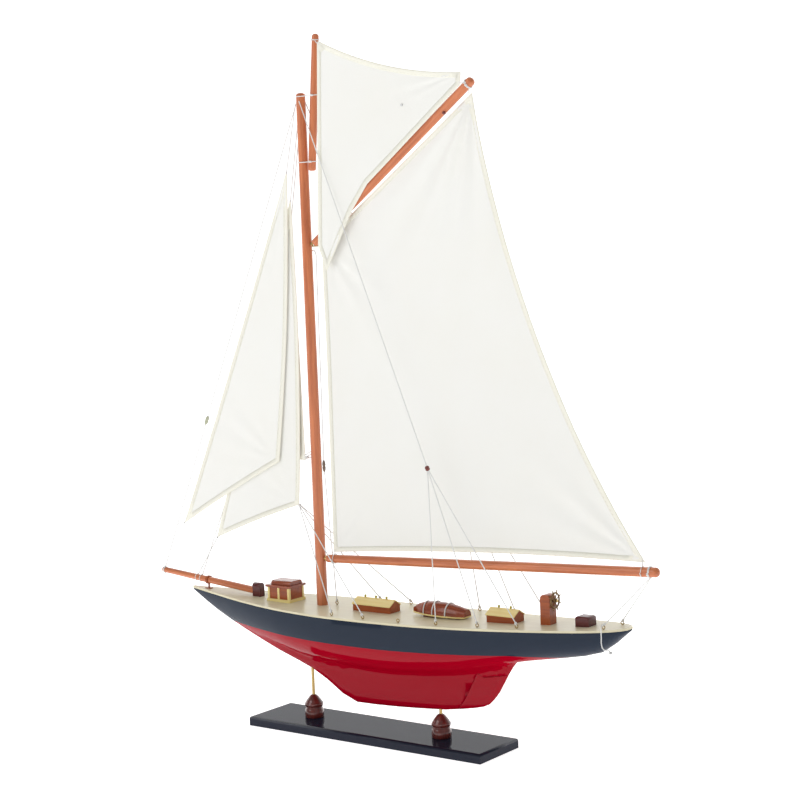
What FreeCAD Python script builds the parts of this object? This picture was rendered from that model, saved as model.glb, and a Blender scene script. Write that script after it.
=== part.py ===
"""A wooden display yacht on a two-post stand, built as one parametric FreeCAD document.

Millimetres, +Z up, bow towards -X, port side towards -Y.  The origin is the centre of the
underside of the stand board.  The hull lifts off two brass pins, the boom and gaff swing
together on their pins behind the mast, the rudder turns on its stock and the ship's wheel
turns on its axle.
"""
import FreeCAD, Part
import math
import os
from FreeCAD import Vector, Rotation, Placement

doc = FreeCAD.newDocument("DisplayYacht")
sheet = doc.addObject("Spreadsheet::Sheet", "Sizes")

DIMENSIONS = {
    # stand
    "board_length": 287.5, "board_width": 65, "board_height": 9.5, "board_round": 2.4,
    "post_front_x": -82, "post_aft_x": 78, "post_radius": 10.4, "post_height": 23,
    "pin_radius": 1.5, "pin_depth": 14, "screw_radius": 1.8, "screw_head": 3.6,
    # hull and deck
    "deck_mid": 126.9, "deck_tilt": 1.6, "deck_lift": 7.35, "deck_reach": 260,
    "deck_plate": 2.0, "deck_overhang": 0.7, "fit_gap": 0.05, "inlay": 0.5,
    # spars
    "mast_x": -65, "mast_foot": 104,
    "mast_top": 639.5, "mast_radius": 5.6, "mast_tip_radius": 4.7,
    "topmast_radius": 3.95, "boom_radius": 4.5, "gaff_radius": 4.4,
    "pivot_x": -58, "pivot_radius": 0.7, "boom_z": 174.8, "gaff_z": 490.4,
    # deck fittings
    "bitt_x": -151, "bitt_length": 10, "bitt_width": 7.5, "bitt_height": 14.5,
    "house_x": -113.5, "house_length": 29, "house_width": 23.5, "house_wall": 12,
    "house_plinth": 2.7, "house_post": 2.6,
    "light_fore_x": 4, "light_fore_length": 46, "light_aft_x": 157, "light_aft_length": 31,
    "light_width": 17, "light_wall": 6.7, "light_roof": 6.1,
    "boat_x": 82, "boat_length": 64, "boat_width": 19, "boat_depth": 11.5, "boat_chock": 2.2,
    "pedestal_x": 205, "pedestal_length": 10.5, "pedestal_width": 11, "pedestal_height": 28,
    "hatch_x": 245, "hatch_side": 14, "hatch_height": 9.5, "hatch_round": 2.5,
    "wheel_radius": 7, "wheel_rim": 0.8, "wheel_reach": 10, "axle_radius": 0.9,
    # cloth and thread
    "cloth": 0.8, "thread": 0.4,
}
for row, (name, value) in enumerate(DIMENSIONS.items(), start=1):
    sheet.set("A%d" % row, name)
    sheet.set("B%d" % row, str(value))
    sheet.setAlias("B%d" % row, name)
doc.recompute()

NODES = []


def size(name):
    return float(getattr(sheet, name))


def bind(item, **sizes):
    """Bind properties to sheet expressions; a double underscore stands for a dot."""
    for prop, expression in sizes.items():
        item.setExpression(prop.replace("__", "."), expression)
    return item


def node(item, label):
    item.Label = label
    NODES.append(item)
    return item


def feature(label, shape):
    item = doc.addObject("Part::Feature", label)
    item.Shape = shape
    return node(item, label)


def block(name, length, width, height, centre_x, base_z, centre_y="0"):
    """A box centred in X and Y on its foot, every value an expression."""
    item = doc.addObject("Part::Box", name)
    bind(item, Length=length, Width=width, Height=height)
    bind(item, Placement__Base__x="(%s) - (%s) / 2" % (centre_x, length),
         Placement__Base__y="(%s) - (%s) / 2" % (centre_y, width), Placement__Base__z=base_z)
    return item


def cylinder(name, radius, height, x, z, y="0"):
    item = doc.addObject("Part::Cylinder", name)
    bind(item, Radius=radius, Height=height, Placement__Base__x=x, Placement__Base__y=y,
         Placement__Base__z=z)
    return item


def cut(label, base, tools):
    tool = tools[0]
    if len(tools) > 1:
        tool = doc.addObject("Part::MultiFuse", label + "_tools")
        tool.Shapes = tools
    item = doc.addObject("Part::Cut", label)
    item.Base = base
    item.Tool = tool
    return item


def fuse(label, parts):
    item = doc.addObject("Part::MultiFuse", label)
    item.Shapes = parts
    return item


def group(label, parts):
    """Several separate solids kept together in one node."""
    item = doc.addObject("Part::Compound", label)
    item.Links = parts
    return node(item, label)


def deck_z(x):
    reach = x / size("deck_reach")
    return size("deck_mid") + size("deck_tilt") * reach + size("deck_lift") * reach ** 2


def deck_foot(centre_x):
    """Expression for the height of the deck at centre_x, less the inlay."""
    reach = "((%s) / Sizes.deck_reach)" % centre_x
    return "Sizes.deck_mid + Sizes.deck_tilt * %s + Sizes.deck_lift * %s ^ 2 - Sizes.inlay" % (
        reach, reach)


def smooth(x, points):
    """Monotone cubic through the points, so that an outline never overshoots."""
    xs = [p[0] for p in points]
    ys = [p[1] for p in points]
    if x <= xs[0]:
        return ys[0]
    if x >= xs[-1]:
        return ys[-1]
    slopes = [(ys[i + 1] - ys[i]) / (xs[i + 1] - xs[i]) for i in range(len(xs) - 1)]
    ends = [slopes[0]]
    for before, after in zip(slopes, slopes[1:]):
        ends.append(2 * before * after / (before + after) if before * after > 0 else 0.0)
    ends.append(slopes[-1])
    i = max(k for k in range(len(xs) - 1) if xs[k] <= x)
    span = xs[i + 1] - xs[i]
    t = (x - xs[i]) / span
    return ((1 + 2 * t) * (1 - t) ** 2 * ys[i] + t * (1 - t) ** 2 * span * ends[i]
            + t * t * (3 - 2 * t) * ys[i + 1] + t * t * (t - 1) * span * ends[i + 1])


# ---------------------------------------------------------------- stand
board_blank = block("board_blank", "Sizes.board_length", "Sizes.board_width",
                    "Sizes.board_height", "1.5", "0")
doc.recompute()
board_round = doc.addObject("Part::Fillet", "board_round")
board_round.Base = board_blank
top_edges = []
for index, edge in enumerate(board_blank.Shape.Edges, start=1):
    if min(v.Point.z for v in edge.Vertexes) > size("board_height") - 0.01:
        top_edges.append((index, size("board_round"), size("board_round")))
board_round.Edges = top_edges
screw_holes = []
screw_solids = []
for name, x in (("front", "Sizes.post_front_x"), ("aft", "Sizes.post_aft_x")):
    screw_holes.append(cylinder("screw_hole_" + name, "Sizes.screw_radius + Sizes.fit_gap",
                                "Sizes.board_height + 1", x, "0"))
    sink = doc.addObject("Part::Cylinder", "screw_sink_" + name)
    bind(sink, Radius="Sizes.screw_head + 0.1", Height="2.2", Placement__Base__x=x)
    screw_holes.append(sink)
node(cut("stand_board", board_round, screw_holes), "stand_board")

for name, x in (("front", "Sizes.post_front_x"), ("aft", "Sizes.post_aft_x")):
    foot = cylinder(name + "_post_foot", "Sizes.post_radius", "Sizes.post_height * 0.16",
                    x, "Sizes.board_height")
    bell = doc.addObject("Part::Cone", name + "_post_bell")
    bind(bell, Radius1="Sizes.post_radius * 0.94", Radius2="Sizes.post_radius * 0.52",
         Height="Sizes.post_height * 0.40", Placement__Base__x=x,
         Placement__Base__z="Sizes.board_height + Sizes.post_height * 0.16")
    bead = cylinder(name + "_post_bead", "Sizes.post_radius * 0.82",
                    "Sizes.post_height * 0.14", x,
                    "Sizes.board_height + Sizes.post_height * 0.56")
    cap = doc.addObject("Part::Cone", name + "_post_cap")
    bind(cap, Radius1="Sizes.post_radius * 0.66", Radius2="Sizes.post_radius * 0.36",
         Height="Sizes.post_height * 0.30", Placement__Base__x=x,
         Placement__Base__z="Sizes.board_height + Sizes.post_height * 0.70")
    turned = fuse(name + "_post_turned", [foot, bell, bead, cap])
    pilot = cylinder(name + "_post_pilot", "Sizes.screw_radius + Sizes.fit_gap", "8", x,
                     "Sizes.board_height - 0.5")
    socket = cylinder(name + "_post_socket", "Sizes.pin_radius + Sizes.fit_gap",
                      "Sizes.post_height", x, "Sizes.board_height + Sizes.post_height - 12")
    node(cut(name + "_post", turned, [pilot, socket]), name + "_post")
    shank = cylinder("screw_shank_" + name, "Sizes.screw_radius", "Sizes.board_height + 6.5",
                     x, "0.4")
    head = cylinder("screw_head_" + name, "Sizes.screw_head", "1.8", x, "0.4")
    screw_solids.append(fuse("screw_" + name, [shank, head]))
group("stand_screws", screw_solids)

# ---------------------------------------------------------------- hull
KEEL_LINE = [(-243, 127.5), (-214, 111), (-179, 95), (-125, 74), (-81.5, 59.7), (-62, 50),
             (-25, 31.5), (77, 36.5), (113, 42), (133, 47), (146, 59), (163, 86), (172, 95.4),
             (202, 99.6), (259, 111), (291, 134)]
CANOE_LINE = [(-243, 127.5), (-214, 111), (-179, 96), (-125, 82), (-60, 73), (20, 71),
              (100, 78), (160, 90), (202, 99.6), (259, 111), (291, 134)]
BREADTH = [(-243, 0.9), (-200, 12.8), (-150, 26.7), (-90, 39.0), (-20, 45.3), (60, 45.0),
           (130, 40.5), (200, 32), (250, 24), (275, 17), (287, 9.5), (291, 4)]
FIN_HALF = [(-243, 0.6), (-120, 1.6), (-62, 3.0), (-25, 4.0), (35, 5.2), (110, 3.4),
            (140, 2.3), (163, 1.6), (291, 0.6)]
FULLNESS = [(-243, 1.2), (-150, 1.6), (-20, 2.5), (291, 2.2)]
ROUNDNESS = [(-243, 1.15), (-150, 1.5), (-20, 2.0), (291, 2.0)]
FLARE, FLARE_DEPTH = 6.0, 6.0


def half_breadth(x, z, top):
    """Half breadth of the hull at height z: a round canoe body blended into a thin fin."""
    canoe = smooth(x, CANOE_LINE)
    keel = smooth(x, KEEL_LINE)
    rise = max(0.0, min(1.0, (z - canoe) / (top - canoe)))
    body = smooth(x, BREADTH) * (1 - (1 - rise) ** smooth(x, FULLNESS)) ** (
        1 / smooth(x, ROUNDNESS))
    fin = smooth(x, FIN_HALF)
    depth = max(0.0, canoe - keel)
    fin += FLARE * min(1.0, depth / 15) * math.exp(min(0.0, z - canoe) / FLARE_DEPTH)
    nose = max(0.0, min(1.0, (z - keel) / 3.0))
    fin *= math.sqrt(1 - (1 - nose) ** 2)
    fin = min(fin, 0.98 * smooth(x, BREADTH))
    return (body ** 3 + fin ** 3) ** (1 / 3)


def hull_section(x, top, points=12):
    """Closed section wire at x, evenly spaced round its girth from deck edge to keel."""
    keel = smooth(x, KEEL_LINE)
    steps = 300
    girth = []
    for k in range(steps + 1):
        z = keel + (top - keel) * (k / steps) ** 1.5  # closer steps near the keel
        girth.append(Vector(x, half_breadth(x, z, top), z))
    girth[0] = Vector(x, 0, keel)
    walked = [0.0]
    for before, after in zip(girth, girth[1:]):
        walked.append(walked[-1] + (after - before).Length)
    half = []
    for k in range(points):
        target = walked[-1] * k / (points - 1)
        i = max(n for n in range(steps) if walked[n] <= target + 1e-9)
        share = (target - walked[i]) / (walked[i + 1] - walked[i])
        half.append(girth[i] + (girth[i + 1] - girth[i]) * share)
    round_trip = [Vector(p.x, -p.y, p.z) for p in reversed(half)] + half[1:]
    curve = Part.BSplineCurve()
    curve.interpolate(round_trip)
    return Part.Wire([curve.toShape(), Part.makeLine(round_trip[-1], round_trip[0])])


STATIONS = [-243, -236, -225, -210, -192, -172, -150, -125, -100, -81, -62, -43, -25, 0, 28,
            56, 84, 106, 120, 129, 136, 142, 148, 154, 159, 164, 169, 174, 183, 202, 225, 245,
            262, 275, 283, 288, 291]
sections = [hull_section(x, deck_z(x) - size("deck_plate")) for x in STATIONS]
hull_blank = Part.makeLoft(sections, True, True)


def rod(start, end, radius, end_radius=None):
    """A straight round bar, tapered when end_radius is given."""
    along = end - start
    if end_radius is None or abs(end_radius - radius) < 1e-6:
        return Part.makeCylinder(radius, along.Length, start, along)
    return Part.makeCone(radius, end_radius, along.Length, start, along)


def prism(outline, thickness):
    """Plate standing in the centreplane: outline in X and Z, thickness shared each side."""
    points = [Vector(x, -thickness / 2, z) for x, z in outline]
    face = Part.Face(Part.makePolygon(points + points[:1]))
    return face.extrude(Vector(0, thickness, 0))


def hull_floor(x):
    return smooth(x, KEEL_LINE)


pin_tips = {}
bores = []
for name in ("front", "aft"):
    x = size("post_%s_x" % name)
    pin_tips[name] = hull_floor(x) + size("pin_depth")
    bores.append(Part.makeCylinder(size("pin_radius") + size("fit_gap"), size("pin_depth") + 8,
                                   Vector(x, 0, pin_tips[name]), Vector(0, 0, -1)))
mast_hole = Part.makeCylinder(size("mast_radius") + size("fit_gap"), 60,
                              Vector(size("mast_x"), 0, size("mast_foot")))

# The rudder hangs behind a raked stock.  Its nose and its head are turned shapes about the
# stock, so that the hull can follow them with a thin even gap at every rudder angle.
STOCK_FOOT, STOCK_HEAD = Vector(105, 0, 40), Vector(127.6, 0, 78)
STOCK_AXIS = (STOCK_HEAD - STOCK_FOOT).normalize()
STOCK_OUT = Vector(STOCK_AXIS.z, 0, -STOCK_AXIS.x)
NOSE_PROUD, RUDDER_GAP = 0.3, 0.25
HEAD_FLAT, HEAD_RISE = 6.2, 0.885
BELOW_KEEL, PAST_BLADE = -60, 80


def turned_about_stock(profile):
    """Solid of revolution about the stock; profile lists (height from the head, radius)."""
    points = [STOCK_HEAD + STOCK_AXIS * along + STOCK_OUT * out for along, out in profile]
    face = Part.Face(Part.makePolygon(points + points[:1]))
    return face.revolve(STOCK_HEAD, STOCK_AXIS, 360)


def nose(gap):
    """Round nose as wide as the deadwood beside it."""
    profile = [(BELOW_KEEL, 0)]
    widths = []
    for along in (-40, -30, -20, -13, -8, -4, 0):
        place = STOCK_HEAD + STOCK_AXIS * along
        top = deck_z(place.x) - size("deck_plate")
        widths.append((along, half_breadth(place.x, place.z, top) + NOSE_PROUD + gap))
    profile.append((BELOW_KEEL, widths[0][1]))
    profile += widths[:-1] + [(gap, widths[-1][1]), (gap, 0)]
    return turned_about_stock(profile)


def swept_room(gap):
    """All that lies under the rudder's head: flat near the stock, then rising aft."""
    rise = HEAD_RISE * (PAST_BLADE - HEAD_FLAT)
    return turned_about_stock([(BELOW_KEEL, 0), (BELOW_KEEL, PAST_BLADE),
                               (rise + gap * 1.3, PAST_BLADE), (gap, HEAD_FLAT), (gap, 0)])


low_end, high_end = STOCK_FOOT - STOCK_AXIS * 40, STOCK_HEAD + STOCK_AXIS * 20
behind_stock = prism([(low_end.x, low_end.z), (high_end.x, high_end.z), (190, high_end.z),
                      (190, low_end.z)], 40)
rudder = hull_blank.common(behind_stock.common(swept_room(0)).fuse(nose(0)))
hull = hull_blank.cut(behind_stock.common(swept_room(RUDDER_GAP)).fuse(nose(RUDDER_GAP)))
stock_hole = Part.makeCylinder(0.85, 14, STOCK_HEAD - STOCK_AXIS * 2, STOCK_AXIS)
stock_pin = Part.makeCylinder(0.8, 10, STOCK_HEAD - STOCK_AXIS * 4, STOCK_AXIS)
hull = hull.cut(stock_hole)
for bore in bores:
    hull = hull.cut(bore)
hull = hull.cut(mast_hole)
print("hull", hull.isValid(), len(hull.Solids), round(hull.Volume), "rudder", rudder.isValid(),
      len(rudder.Solids), round(rudder.Volume))
feature("hull", hull)
feature("rudder", rudder.cut(stock_pin))
feature("rudder_stock", stock_pin)
for name in ("front", "aft"):
    foot = size("board_height") + size("post_height") - 12
    shape = Part.makeCylinder(size("pin_radius"), pin_tips[name] - foot,
                              Vector(size("post_%s_x" % name), 0, foot))
    feature(name + "_pin", shape)

# ---------------------------------------------------------------- deck and its fittings
plate = size("deck_plate")
deck_wires = []
for x in STATIONS:
    half = smooth(x, BREADTH) + size("deck_overhang")
    top = deck_z(x)
    corners = [Vector(x, -half, top - plate), Vector(x, half, top - plate), Vector(x, half, top),
               Vector(x, -half, top)]
    deck_wires.append(Part.makePolygon(corners + corners[:1]))
deck_blank = doc.addObject("Part::Feature", "deck_blank")
deck_blank.Shape = Part.makeLoft(deck_wires, True, True)
seats = []


def seat(name, length, width, centre_x):
    """Shallow recess in the deck that a fitting is let into."""
    item = block(name + "_seat", length, width, "6", centre_x, deck_foot(centre_x))
    seats.append(item)


def rounded(label, base, radius, test):
    """Fillet the edges of a box that pass the test."""
    doc.recompute()
    item = doc.addObject("Part::Fillet", label)
    item.Base = base
    item.Edges = [(i, radius, radius) for i, edge in enumerate(base.Shape.Edges, start=1)
                  if test(edge)]
    return item


def along(edge, axis):
    start, end = edge.Vertexes[0].Point, edge.Vertexes[-1].Point
    return abs((end - start).normalize().dot(axis)) > 0.99


def top_of(base):
    return base.Shape.BoundBox.ZMax - 0.01


# bitt post, arched on top, holding the heel of the bowsprit
HEEL, TIP = Vector(-152.5, 0, 133.6), Vector(-288, 0, 146.2)
HEEL_RADIUS, TIP_RADIUS = 3.7, 2.9
bowsprit = rod(HEEL, TIP, HEEL_RADIUS, TIP_RADIUS)
bitt_foot = deck_foot("Sizes.bitt_x")
seat("bitt", "Sizes.bitt_length", "Sizes.bitt_width", "Sizes.bitt_x")
bitt_blank = block("bitt_blank", "Sizes.bitt_length", "Sizes.bitt_width", "Sizes.bitt_height",
                   "Sizes.bitt_x", bitt_foot)
bitt_arched = rounded("bitt_arched", bitt_blank, size("bitt_width") / 2 - 0.2,
                      lambda e: along(e, Vector(1, 0, 0))
                      and e.Vertexes[0].Point.z > top_of(bitt_blank))
bowsprit_node = feature("bowsprit", bowsprit)
node(cut("bitt_post", bitt_arched, [bowsprit_node]), "bitt_post")

# gammon iron: a ring round the bowsprit on a short leg with a foot plate
GAMMON_X = -221
GAMMON = HEEL + (TIP - HEEL) * ((GAMMON_X - HEEL.x) / (TIP.x - HEEL.x))
seat("gammon", "7", "4.4", str(GAMMON_X))
gammon_deck = deck_z(GAMMON_X) - size("inlay")
ring = rod(GAMMON - (TIP - HEEL).normalize() * 1.3, GAMMON + (TIP - HEEL).normalize() * 1.3, 4.5)
leg = Part.makeCylinder(1.0, GAMMON.z - 2.5 - gammon_deck, Vector(GAMMON_X, 0, gammon_deck))
foot = Part.makeBox(7, 4.4, 1.3, Vector(GAMMON_X - 3.5, -2.2, gammon_deck))
feature("gammon_iron", ring.fuse([leg, foot]).cut(bowsprit).removeSplitter())

# deckhouse: plinth, walls with corner posts and a two-tier roof
house_foot = deck_foot("Sizes.house_x")
seat("house", "Sizes.house_length + 2", "Sizes.house_width + 2", "Sizes.house_x")
plinth = block("plinth", "Sizes.house_length + 2", "Sizes.house_width + 2",
               "Sizes.house_plinth + Sizes.inlay", "Sizes.house_x", house_foot)
node(plinth, "deckhouse_plinth")
wall_foot = "%s + Sizes.house_plinth + Sizes.inlay" % house_foot
posts = []
for side in (-1, 1):
    for step in (-1, 0, 1):
        posts.append(block("house_post_%d_%d" % (side + 1, step + 1), "Sizes.house_post",
                           "Sizes.house_post", "Sizes.house_wall",
                           "Sizes.house_x + %d * (Sizes.house_length - Sizes.house_post) / 2"
                           % step, wall_foot,
                           "%d * (Sizes.house_width - Sizes.house_post) / 2" % side))
wall_blank = block("wall_blank", "Sizes.house_length - 1", "Sizes.house_width - 1",
                   "Sizes.house_wall", "Sizes.house_x", wall_foot)
group("deckhouse_posts", posts)
node(cut("deckhouse_walls", wall_blank, posts), "deckhouse_walls")
roof_foot = "%s + Sizes.house_wall" % wall_foot
eaves = block("eaves", "Sizes.house_length + 3", "Sizes.house_width + 3", "2.2",
              "Sizes.house_x", roof_foot)
crown = block("crown", "Sizes.house_length - 4", "Sizes.house_width - 4", "4.2",
              "Sizes.house_x + 1.5", "%s + 2.2" % roof_foot)
crown_round = rounded("crown_round", crown, 3.2, lambda e: along(e, Vector(1, 0, 0))
                      and e.Vertexes[0].Point.z > top_of(crown))
node(fuse("deckhouse_roof", [eaves, crown_round]), "deckhouse_roof")


def skylight(name, centre_x, length, knobs):
    """Gabled skylight: solid box with gable ends, two roof leaves and knobs on the ridge."""
    seat(name, length, "Sizes.light_width", centre_x)
    sheet.recompute()
    middle = size(centre_x.split(".")[1])
    span = size(length.split(".")[1])
    foot = deck_z(middle) - size("inlay")
    half = size("light_width") / 2
    eave = foot + size("inlay") + size("light_wall")
    ridge = eave + size("light_roof") - 1.1
    gable = [Vector(middle - span / 2, y, z) for y, z in
             ((-half, foot), (half, foot), (half, eave), (0, ridge), (-half, eave))]
    box = Part.Face(Part.makePolygon(gable + gable[:1])).extrude(Vector(span, 0, 0))
    lap, leaf = 0.8, 1.1
    slope = (ridge - eave) / half
    under = [(half + lap, eave - lap * slope), (0, ridge), (-half - lap, eave - lap * slope)]
    outline = under + [(y, z + leaf) for y, z in reversed(under)]
    cover = [Vector(middle - span / 2 - lap, y, z) for y, z in outline]
    roof = Part.Face(Part.makePolygon(cover + cover[:1])).extrude(Vector(span + 2 * lap, 0, 0))
    solids = []
    for k in range(knobs):
        x = middle + span * ((k + 0.5) / knobs - 0.5) * 0.86
        stem = Part.makeCylinder(0.8, 1.2, Vector(x, 0, ridge + leaf - 0.3))
        ball = Part.makeSphere(1.25, Vector(x, 0, ridge + leaf + 1.3))
        solids.append(stem.fuse(ball).cut(roof))
    feature(name + "_box", box)
    feature(name + "_roof", roof)
    feature(name + "_knobs", Part.makeCompound(solids))


skylight("skylight_forward", "Sizes.light_fore_x", "Sizes.light_fore_length", 3)
skylight("skylight_aft", "Sizes.light_aft_x", "Sizes.light_aft_length", 2)

# lifeboat stowed keel up on two chocks, pointed end forward
BOAT_PLAN = [(0, 0.04), (0.12, 0.45), (0.35, 0.88), (0.6, 1.0), (0.85, 0.85), (1, 0.62)]
BOAT_SHEER = [(0, 0.30), (0.12, 0.72), (0.35, 0.99), (0.6, 1.0), (0.85, 0.80), (1, 0.60)]
boat_length, boat_depth = size("boat_length"), size("boat_depth")
boat_start = size("boat_x") - boat_length / 2
boat_foot = deck_z(size("boat_x")) - size("inlay") + size("boat_chock") + 1.4


def boat_shell(swell):
    """Upturned boat body, swell millimetres larger all over."""
    wires = []
    for share in (0, 0.06, 0.12, 0.22, 0.35, 0.48, 0.6, 0.74, 0.87, 1):
        half = smooth(share, BOAT_PLAN) * size("boat_width") / 2 + swell
        rise = smooth(share, BOAT_SHEER) * boat_depth + swell
        x = boat_start + share * boat_length
        arc = [Vector(x, -half * math.cos(math.pi * k / 8),
                      boat_foot + rise * math.sin(math.pi * k / 8) ** 0.9) for k in range(9)]
        curve = Part.BSplineCurve()
        curve.interpolate(arc)
        wires.append(Part.Wire([curve.toShape(), Part.makeLine(arc[-1], arc[0])]))
    return Part.makeLoft(wires, True, True)


boat = boat_shell(0)
feature("lifeboat_hull", boat)
rim = []
for share in (0, 0.06, 0.12, 0.22, 0.35, 0.48, 0.6, 0.74, 0.87, 1):
    rim.append((boat_start + share * boat_length,
                smooth(share, BOAT_PLAN) * size("boat_width") / 2 + 0.7))
rim_points = [Vector(x, y, boat_foot - 1.4) for x, y in rim]
rim_points += [Vector(x, -y, boat_foot - 1.4) for x, y in reversed(rim)]
feature("lifeboat_gunwale",
        Part.Face(Part.makePolygon(rim_points + rim_points[:1])).extrude(Vector(0, 0, 1.4)))
chocks = []
for index, centre in enumerate(("Sizes.boat_x - 9", "Sizes.boat_x + 20")):
    base = deck_foot("Sizes.boat_x")
    chocks.append(block("chock_%d" % index, "14", "13", "Sizes.boat_chock", centre, base))
    seats.append(block("chock_seat_%d" % index, "14", "13", "6", centre, base))
group("lifeboat_chocks", chocks)
outer = boat_shell(0.9)
straps = []
for share in (0.26, 0.44, 0.68):
    slab = Part.makeBox(0.9, 40, 30, Vector(boat_start + share * boat_length, -20, boat_foot))
    straps.append(outer.common(slab).cut(boat))
feature("lifeboat_lashing", Part.makeCompound(straps))

# wheel pedestal, axle and ship's wheel
wheel_z = deck_z(size("pedestal_x")) + 22.6
pedestal_foot = deck_foot("Sizes.pedestal_x")
seat("pedestal", "Sizes.pedestal_length", "Sizes.pedestal_width", "Sizes.pedestal_x")
pedestal_blank = block("pedestal_blank", "Sizes.pedestal_length", "Sizes.pedestal_width",
                       "Sizes.pedestal_height + Sizes.inlay", "Sizes.pedestal_x", pedestal_foot)
pedestal_round = rounded("pedestal_round", pedestal_blank, 4.2,
                         lambda e: along(e, Vector(0, 1, 0))
                         and e.Vertexes[0].Point.z > top_of(pedestal_blank))
pedestal_back = size("pedestal_x") + size("pedestal_length") / 2
wheel_x = pedestal_back + 2.6
axle = Part.makeCylinder(size("axle_radius"), 9, Vector(pedestal_back - 4, 0, wheel_z),
                         Vector(1, 0, 0))
collar = Part.makeCylinder(1.5, 0.9, Vector(pedestal_back, 0, wheel_z), Vector(1, 0, 0))
end_cap = Part.makeCylinder(1.3, 0.9, Vector(pedestal_back + 4.3, 0, wheel_z), Vector(1, 0, 0))
axle_node = feature("wheel_axle", axle.fuse([collar, end_cap]).removeSplitter())
node(cut("wheel_pedestal", pedestal_round, [axle_node]), "wheel_pedestal")
hub = Part.makeCylinder(2.0, 2.8, Vector(wheel_x - 1.4, 0, wheel_z), Vector(1, 0, 0))
rim_ring = Part.makeTorus(size("wheel_radius"), size("wheel_rim"), Vector(wheel_x, 0, wheel_z),
                          Vector(1, 0, 0))
spokes = []
for k in range(8):
    turn = math.radians(45 * k + 22.5)
    out = Vector(0, math.cos(turn), math.sin(turn))
    centre = Vector(wheel_x, 0, wheel_z)
    spokes.append(rod(centre + out * 1.2, centre + out * 7.5, 0.45))
    spokes.append(rod(centre + out * 7.2, centre + out * size("wheel_reach"), 0.7, 0.5))
wheel_bore = Part.makeCylinder(size("axle_radius") + size("fit_gap"), 12,
                               Vector(wheel_x - 6, 0, wheel_z), Vector(1, 0, 0))
feature("ships_wheel", hub.fuse([rim_ring] + spokes).cut(wheel_bore).removeSplitter())

# aft hatch
seat("hatch", "Sizes.hatch_side", "Sizes.hatch_side", "Sizes.hatch_x")
hatch_blank = block("hatch_blank", "Sizes.hatch_side", "Sizes.hatch_side",
                    "Sizes.hatch_height + Sizes.inlay", "Sizes.hatch_x",
                    deck_foot("Sizes.hatch_x"))
hatch = rounded("aft_hatch", hatch_blank, size("hatch_round"),
                lambda e: min(v.Point.z for v in e.Vertexes) > top_of(hatch_blank))
node(hatch, "aft_hatch")

# deck eyes: brass rings on short shanks driven into the deck
EYES = {"sheet_fore": (-21.3, 39.4), "sheet_aft": (17.5, 39.3), "spare": (60, 38.8),
        "leg_fore": (102.8, 36.6), "leg_mid": (147, 32), "leg_aft": (187, 26.2)}
MAINSHEET_EYES = {"port": Vector(271.4, -13.3, 0), "starboard": Vector(277.4, 10, 0)}
MAST_EYE = Vector(-51.5, 6.5, 0)
RING, WIRE = 1.5, 0.45
eye_places = [Vector(x, side * y, 0) for x, y in EYES.values() for side in (-1, 1)]
eye_places += list(MAINSHEET_EYES.values()) + [MAST_EYE]
eye_solids = []
eye_holes = []


def eye_top(place):
    """Centre of the ring of the eye that stands at place."""
    return Vector(place.x, place.y, deck_z(place.x) + RING + WIRE)


for place in eye_places:
    centre = eye_top(place)
    ring = Part.makeTorus(RING, WIRE, centre, Vector(0, 1, 0))
    shank = Part.makeCylinder(0.5, 1.6 + WIRE, Vector(place.x, place.y, deck_z(place.x) - 1.6))
    eye_solids.append(ring.fuse(shank).removeSplitter())
    eye_holes.append(Part.makeCylinder(0.5, 3, Vector(place.x, place.y,
                                                      deck_z(place.x) - 1.6)))
feature("deck_eyes", Part.makeCompound(eye_solids))
holes = doc.addObject("Part::Feature", "eye_holes")
holes.Shape = Part.makeCompound(eye_holes)
mast_clear = cylinder("mast_clear", "Sizes.mast_radius + Sizes.fit_gap", "60", "Sizes.mast_x",
                      "Sizes.mast_foot")
node(cut("deck", deck_blank, seats + [holes, mast_clear]), "deck")

# ---------------------------------------------------------------- spars
mast_x = size("mast_x")
mast = rod(Vector(mast_x, 0, size("mast_foot")), Vector(mast_x, 0, size("mast_top")),
           size("mast_radius"), size("mast_tip_radius"))
pivot_x, pivot_radius = size("pivot_x"), size("pivot_radius")
eyes = []
pins = []
for z in (size("boom_z"), size("gaff_z")):
    lug = Part.makeBox(3.2, 3.0, 1.6, Vector(pivot_x - 1.6, -1.5, z - 0.8))
    shank = rod(Vector(mast_x + 2, 0, z), Vector(pivot_x - 1.3, 0, z), 0.55)
    bore = Part.makeCylinder(pivot_radius + size("fit_gap"), 6, Vector(pivot_x, 0, z - 3))
    eyes.append(lug.fuse(shank).cut(bore).removeSplitter())
    pin = Part.makeCylinder(pivot_radius, 5.8, Vector(pivot_x, 0, z - 2.9))
    arms = [Part.makeBox(7, 1.4, 1.4, Vector(pivot_x, -0.7, z + low)) for low in (1.5, -2.9)]
    pins.append(pin.fuse(arms).removeSplitter())
mast_eyes = Part.makeCompound(eyes)
feature("mast", mast.cut(mast_eyes))
feature("mast_eyes", mast_eyes)
rig_pins = Part.makeCompound(pins)
feature("rig_pins", rig_pins)

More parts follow.
